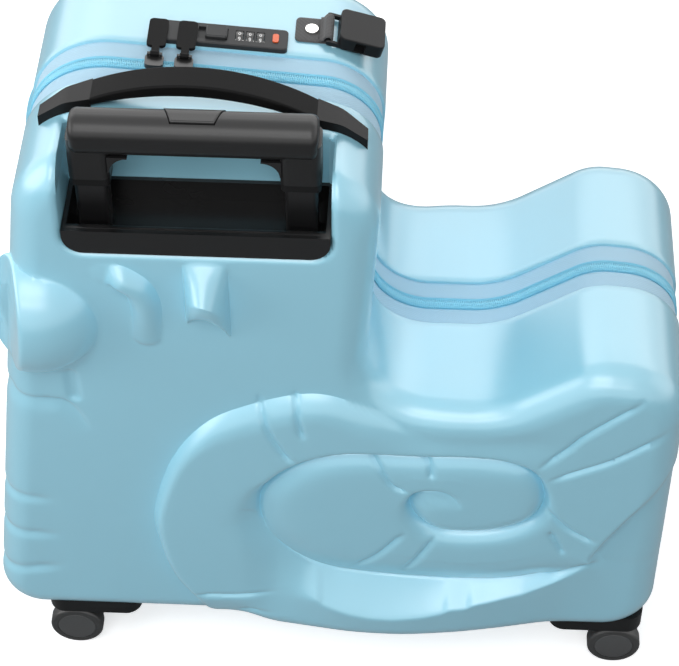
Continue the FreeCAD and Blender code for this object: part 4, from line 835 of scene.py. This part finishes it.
def holeSolids(plan, withLegs):
    points, faces = [], []

    def addPrism(outline, heights):
        faces.extend(closedStack(2, len(outline), len(points)))
        points.extend((px, py, z) for z in heights for px, py in outline)

    radius = plan["swivelRadius"]
    for cx, cy in plan["swivel"]:
        addPrism([(cx + radius * i, -cy + radius * j) for i, j in circle(40)], plan["swivelZ"])
    if withLegs:
        dx, dy = plan["legSize"][0] / 2, plan["legSize"][1] / 2
        for cx in plan["legs"]:
            addPrism([(cx + i * dx, plan["legY"] + j * dy) for i, j in square], plan["legZ"])
    return points, faces


def makeShell(plan, name, body, node, withPocket):
    shell = newObject(name, *shellSkin(plan, reliefPlan, withPocket), "shellBlue")
    cutWith(shell, newObject("eyeSolid", *eyeBall(reliefPlan)), "UNION")
    space = newObject("spaceSolid", *hollowSolid(plan))
    out, back, wall = plan["pocketOut"], plan["pocketBack"], plan["wall"]
    if withPocket:
        cutWith(space, newObject("pocketWall", *slabSolid(pocketCorners(plan, wall), -out, wall - back)))
    cutWith(shell, space)
    if withPocket:
        mouth = slabSolid(pocketCorners(plan, 0.0), -out, -back, 1.5, plan["pocketSoft"])
        cutWith(shell, newObject("pocketSolid", *mouth))
    cutWith(shell, newObject("holeSolid", *holeSolids(shellHoles, withPocket)))
    mesh = shell.data
    sign = 1.0 if withPocket else -1.0
    place = np.empty(len(mesh.vertices) * 3)
    mesh.vertices.foreach_get("co", place)
    mesh.vertices.foreach_set("co", (place.reshape(-1, 3) * (mm, sign * mm, mm)).ravel())
    if sign < 0:
        mesh.flip_normals()
    dress(mesh, "shellBlue")
    smoothMesh(mesh, plan["sharpAngle"])
    mesh.update()
    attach(shell, body)
    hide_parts(node)
    print("stage:", name, len(mesh.polygons), "faces")


makeShell(shellPlan, "nearShellSkin", "near_half", "near_shell", True)
makeShell(shellPlan, "farShellSkin", "far_half", "far_shell", False)


# zip: a woven tape in each rim, interlocking coil teeth with their sewing threads, a cloth hinge at the bottom
zipPlan = {
    "tapeFrom": 19.9, "tapeTo": 5.4, "tapeInset": 1.9, "tapeThick": 0.65, "arcStep": 1.6, "runStep": 5.0,
    "baseFrom": 8.0, "baseTo": 0.4, "baseInset": 2.62, "baseThick": 0.6,
    "toothPitch": 1.5, "toothRadius": 0.74, "toothInset": 1.75, "toothFrom": 4.7, "toothTo": -0.55, "sides": 6,
    "toothShape": [(0.0, 0.55), (0.1, 1.0), (0.72, 0.95), (0.86, 1.12), (0.96, 0.95), (1.0, 0.5)],
    "threads": (4.1, 3.0), "threadInset": 1.0, "threadRadius": 0.3,
    "bottom": (-227.8, 224.0), "bottomZ": 48.5,
    "hinge": (-196.0, 192.0), "hingeHalf": 5.2, "hingeThick": 0.6, "hingeZ": 48.0, "hingeSag": 0.35,
}


def zipRing(plan, step):
    corners = insetCorners(shellPlan["corners"], step)
    counts = ringCounts(corners, plan["arcStep"], [plan["runStep"]] * len(corners), round)
    return counts, ringPoints(corners, counts)


def ringAt(step, counts):
    return ringPoints(insetCorners(shellPlan["corners"], step), counts)


def clothObject(name, points, faces, across, along, weave):
    # points in metres, across and along are the flat place of each point in metres
    piece = newObject(name, points, faces, weave, 60)
    layer = piece.data.uv_layers.new(name="flat")
    for loop in piece.data.loops:
        layer.data[loop.index].uv = (along[loop.vertex_index], across[loop.vertex_index])
    return piece


def zipTape(plan, name, body, node, sign):
    counts, middle = zipRing(plan, plan["tapeInset"] + plan["tapeThick"] / 2)
    run = runAlong(np.vstack([middle, middle[:1]]))
    lift = [(0.3, plan["tapeFrom"]), (0.05, plan["tapeFrom"] - 0.7)]
    lift += [(0.0, y) for y in np.linspace(plan["tapeFrom"] - 3.0, plan["tapeTo"] + 3.0, 4)]
    lift += [(0.05, plan["tapeTo"] + 0.7), (0.3, plan["tapeTo"])]
    rows = [(plan["tapeInset"] + drop, y) for drop, y in lift]
    rows += [(plan["tapeInset"] + plan["tapeThick"], y) for _, y in reversed(lift)]
    points, across, along = [], [], []
    for step, y in rows:
        ring = ringAt(step, counts)
        points += [(px * mm, -sign * y * mm, pz * mm) for px, pz in ring]
        across += [y * mm] * len(ring)
        along += list(run[:-1] * mm)
    columns = len(points) // len(rows)
    last = (len(rows) - 1) * columns
    faces = stackFaces(len(rows), columns)
    faces += [(last + i, last + (i + 1) % columns, (i + 1) % columns, i) for i in range(columns)]
    piece = clothObject(name, points, faces, across, along, "zipTape")
    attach(piece, body)
    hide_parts(node)


def addTube(points, faces, line, radius, sides):
    # a thread through the line's points, each in millimetres
    line = np.array(line)
    faces += closedStack(len(line), sides, len(points))
    ahead = np.roll(line, -1, axis=0) - np.roll(line, 1, axis=0)
    ahead[0], ahead[-1] = line[1] - line[0], line[-1] - line[-2]
    for centre, way in zip(line, ahead):
        way = Vector(way).normalized()
        side = way.cross(Vector((0, 1, 0))).normalized()
        over = side.cross(way)
        for i, j in circle(sides):
            points.append(tuple(Vector(centre) + (side * i + over * j) * radius))


def zipCoil(plan, name, body, node, sign):
    low, high = plan["bottom"]
    counts, outer = zipRing(plan, plan["toothInset"])
    used = [not (pz < plan["bottomZ"] and low < px < high) for px, pz in outer]
    first = next(i for i in range(len(used)) if used[i] and not used[i - 1])
    order = [i for i in [(first + k) % len(used) for k in range(len(used))] if used[i]]
    points, faces = [], []
    sides, shape, pitch = plan["sides"], plan["toothShape"], plan["toothPitch"]
    ring = ringAt(plan["threadInset"], counts)
    for y in plan["threads"]:
        addTube(points, faces, [(ring[i][0], -y, ring[i][1]) for i in order], plan["threadRadius"], sides)
    top, under = plan["baseInset"], plan["baseInset"] + plan["baseThick"]
    rows = [(top, plan["baseFrom"]), (top, plan["baseTo"]), (under, plan["baseTo"]), (under, plan["baseFrom"])]
    rings = [(ringAt(step, counts), y) for step, y in rows]
    faces += closedStack(len(order), len(rows), len(points))
    for i in order:
        points += [(ring[i][0], -y, ring[i][1]) for ring, y in rings]
    line = outer[order]
    run = runAlong(line)
    marks = np.arange(pitch * (0.75 if sign > 0 else 1.25), run[-1] - pitch, pitch)  # the halves interlock
    length = plan["toothFrom"] - plan["toothTo"]
    for cx, cz in zip(np.interp(marks, run, line[:, 0]), np.interp(marks, run, line[:, 1])):
        faces += closedStack(len(shape), sides, len(points))
        for t, share in shape:
            reach, y = plan["toothRadius"] * share, length * t - plan["toothFrom"]
            points += [(cx + reach * i, y, cz + reach * j) for i, j in circle(sides)]
    piece = newObject(name, [(px * mm, sign * py * mm, pz * mm) for px, py, pz in points], faces, "coilBlue", 50)
    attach(piece, body)
    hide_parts(node)
    print("stage:", name, len(marks), "teeth")


def hingeCloth(plan):
    start, end = plan["hinge"]
    half = plan["hingeHalf"]
    xs = np.linspace(start, end, 60)
    ys = np.linspace(-half, half, 15)
    ring = [(y, 0.0) for y in ys] + [(y, plan["hingeThick"]) for y in reversed(ys)]
    points, across, along = [], [], []
    for x in xs:
        for y, up in ring:
            sag = plan["hingeSag"] * (1 - (y / half) ** 2)
            points.append((x * mm, y * mm, (plan["hingeZ"] + up + sag) * mm))
            across.append(y * mm)
            along.append((x - start) * mm)
    piece = clothObject("hingeCloth", points, closedStack(len(xs), len(ring)), across, along, "zipTape")
    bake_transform(piece)


for name, sign in (("near", 1.0), ("far", -1.0)):
    zipTape(zipPlan, name + "ZipTape", name + "_half", name + "_zip_tape", sign)
    zipCoil(zipPlan, name + "ZipCoil", name + "_half", name + "_zip_coil", sign)
hingeCloth(zipPlan)

# lock and strap stand on the sloped top, u runs along it and w stands square to it
topPlan = {"x": -74.0, "z": 500.27, "slope": 4.475}


def onTop(plan, u, y, w):
    turn = math.radians(plan["slope"])
    return ((plan["x"] + u * math.cos(turn) + w * math.sin(turn)) * mm, y * mm,
            (plan["z"] - u * math.sin(turn) + w * math.cos(turn)) * mm)


digitPlan = {"dials": (13.5, 20.3, 27.1), "y": 30.8, "radius": 6.6, "middle": -1.4,
             "size": 3.7, "bold": 0.09, "proud": 0.07, "sunk": 0.25}


def dialDigits(plan, number):
    points, faces = [], []
    for digit in range(10):
        curve = bpy.data.curves.new("digitCurve", "FONT")
        curve.body = str(digit)
        curve.size = plan["size"]
        curve.align_x, curve.align_y = "CENTER", "CENTER"
        curve.extrude = (plan["proud"] + plan["sunk"]) / 2
        curve.offset = plan["bold"]
        curve.resolution_u = 4
        holder = bpy.data.objects.new("digitHolder", curve)
        scene.collection.objects.link(holder)
        mesh = bpy.data.meshes.new_from_object(holder.evaluated_get(bpy.context.evaluated_depsgraph_get()))
        base = len(points)
        for vertex in mesh.vertices:
            across, up, out = vertex.co
            reach = plan["radius"] + (plan["proud"] - plan["sunk"]) / 2 + out
            angle = 2 * math.pi * digit / 10 + up / plan["radius"]
            points.append(onTop(topPlan, plan["dials"][number] + across, plan["y"] + reach * math.sin(angle),
                                plan["middle"] + reach * math.cos(angle)))
        faces += [tuple(base + i for i in f.vertices) for f in mesh.polygons]
        bpy.data.objects.remove(holder)
        bpy.data.curves.remove(curve)
        bpy.data.meshes.remove(mesh)
    piece = newObject("dialDigits" + str(number + 1), points, faces, "digitWhite", 30)
    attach(piece, "dial_" + str(number + 1))


for number in range(3):
    dialDigits(digitPlan, number)

strapPlan = {"from": 49.2, "turn": 71.0, "turnRadius": 2.65, "turnZ": 3.4, "turnAngles": (-90, 150), "gap": 0.03,
             "back": [(67.5, 2.75), (66.6, 2.42), (65.4, 2.4)],
             "y": 46.0, "width": 24.6, "thick": 1.4, "corner": 3.5, "columns": 15}


def strapWebbing(plan):
    # over the shell, round the buckle's bar and back
    line = [(u, plan["thick"] / 2 + plan["gap"]) for u in np.linspace(plan["from"], plan["turn"], 24)]
    radius = plan["turnRadius"]
    line += [(plan["turn"] + radius * math.cos(turn), plan["turnZ"] + radius * math.sin(turn))
             for turn in np.radians(np.linspace(*plan["turnAngles"], 26)[1:])]
    line = np.array(line + plan["back"])
    run = runAlong(line)
    ahead = np.gradient(line, axis=0)
    ahead /= np.hypot(*ahead.T)[:, None]
    count = plan["columns"]
    turns = np.cos(np.linspace(0, math.pi, count))
    spread = np.concatenate([-turns, turns[1:-1]])
    points, across, along = [], [], []
    for (u, w), (du, dw), s in zip(line, ahead, run):
        short = max(0.0, plan["corner"] - s)
        half = plan["width"] / 2 - plan["corner"] + math.sqrt(max(0.0, plan["corner"] ** 2 - short ** 2))
        for k, v in enumerate(spread):
            lift = plan["thick"] / 2 * (1 - 0.55 * abs(v) ** 8) * (1 if k < count else -1)
            if k in (0, count - 1):
                lift = 0.0
            points.append(onTop(topPlan, u - dw * lift, plan["y"] + half * v, w + du * lift))
            across.append(half * v * mm)
            along.append(s * mm)
    faces = closedStack(len(line), len(spread))
    piece = clothObject("strapWebbing", points, faces, across, along, "strapWeave")
    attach(piece, "far_half")
    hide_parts("strap_tab")


strapWebbing(strapPlan)
print("stage: zips, digits and webbing")
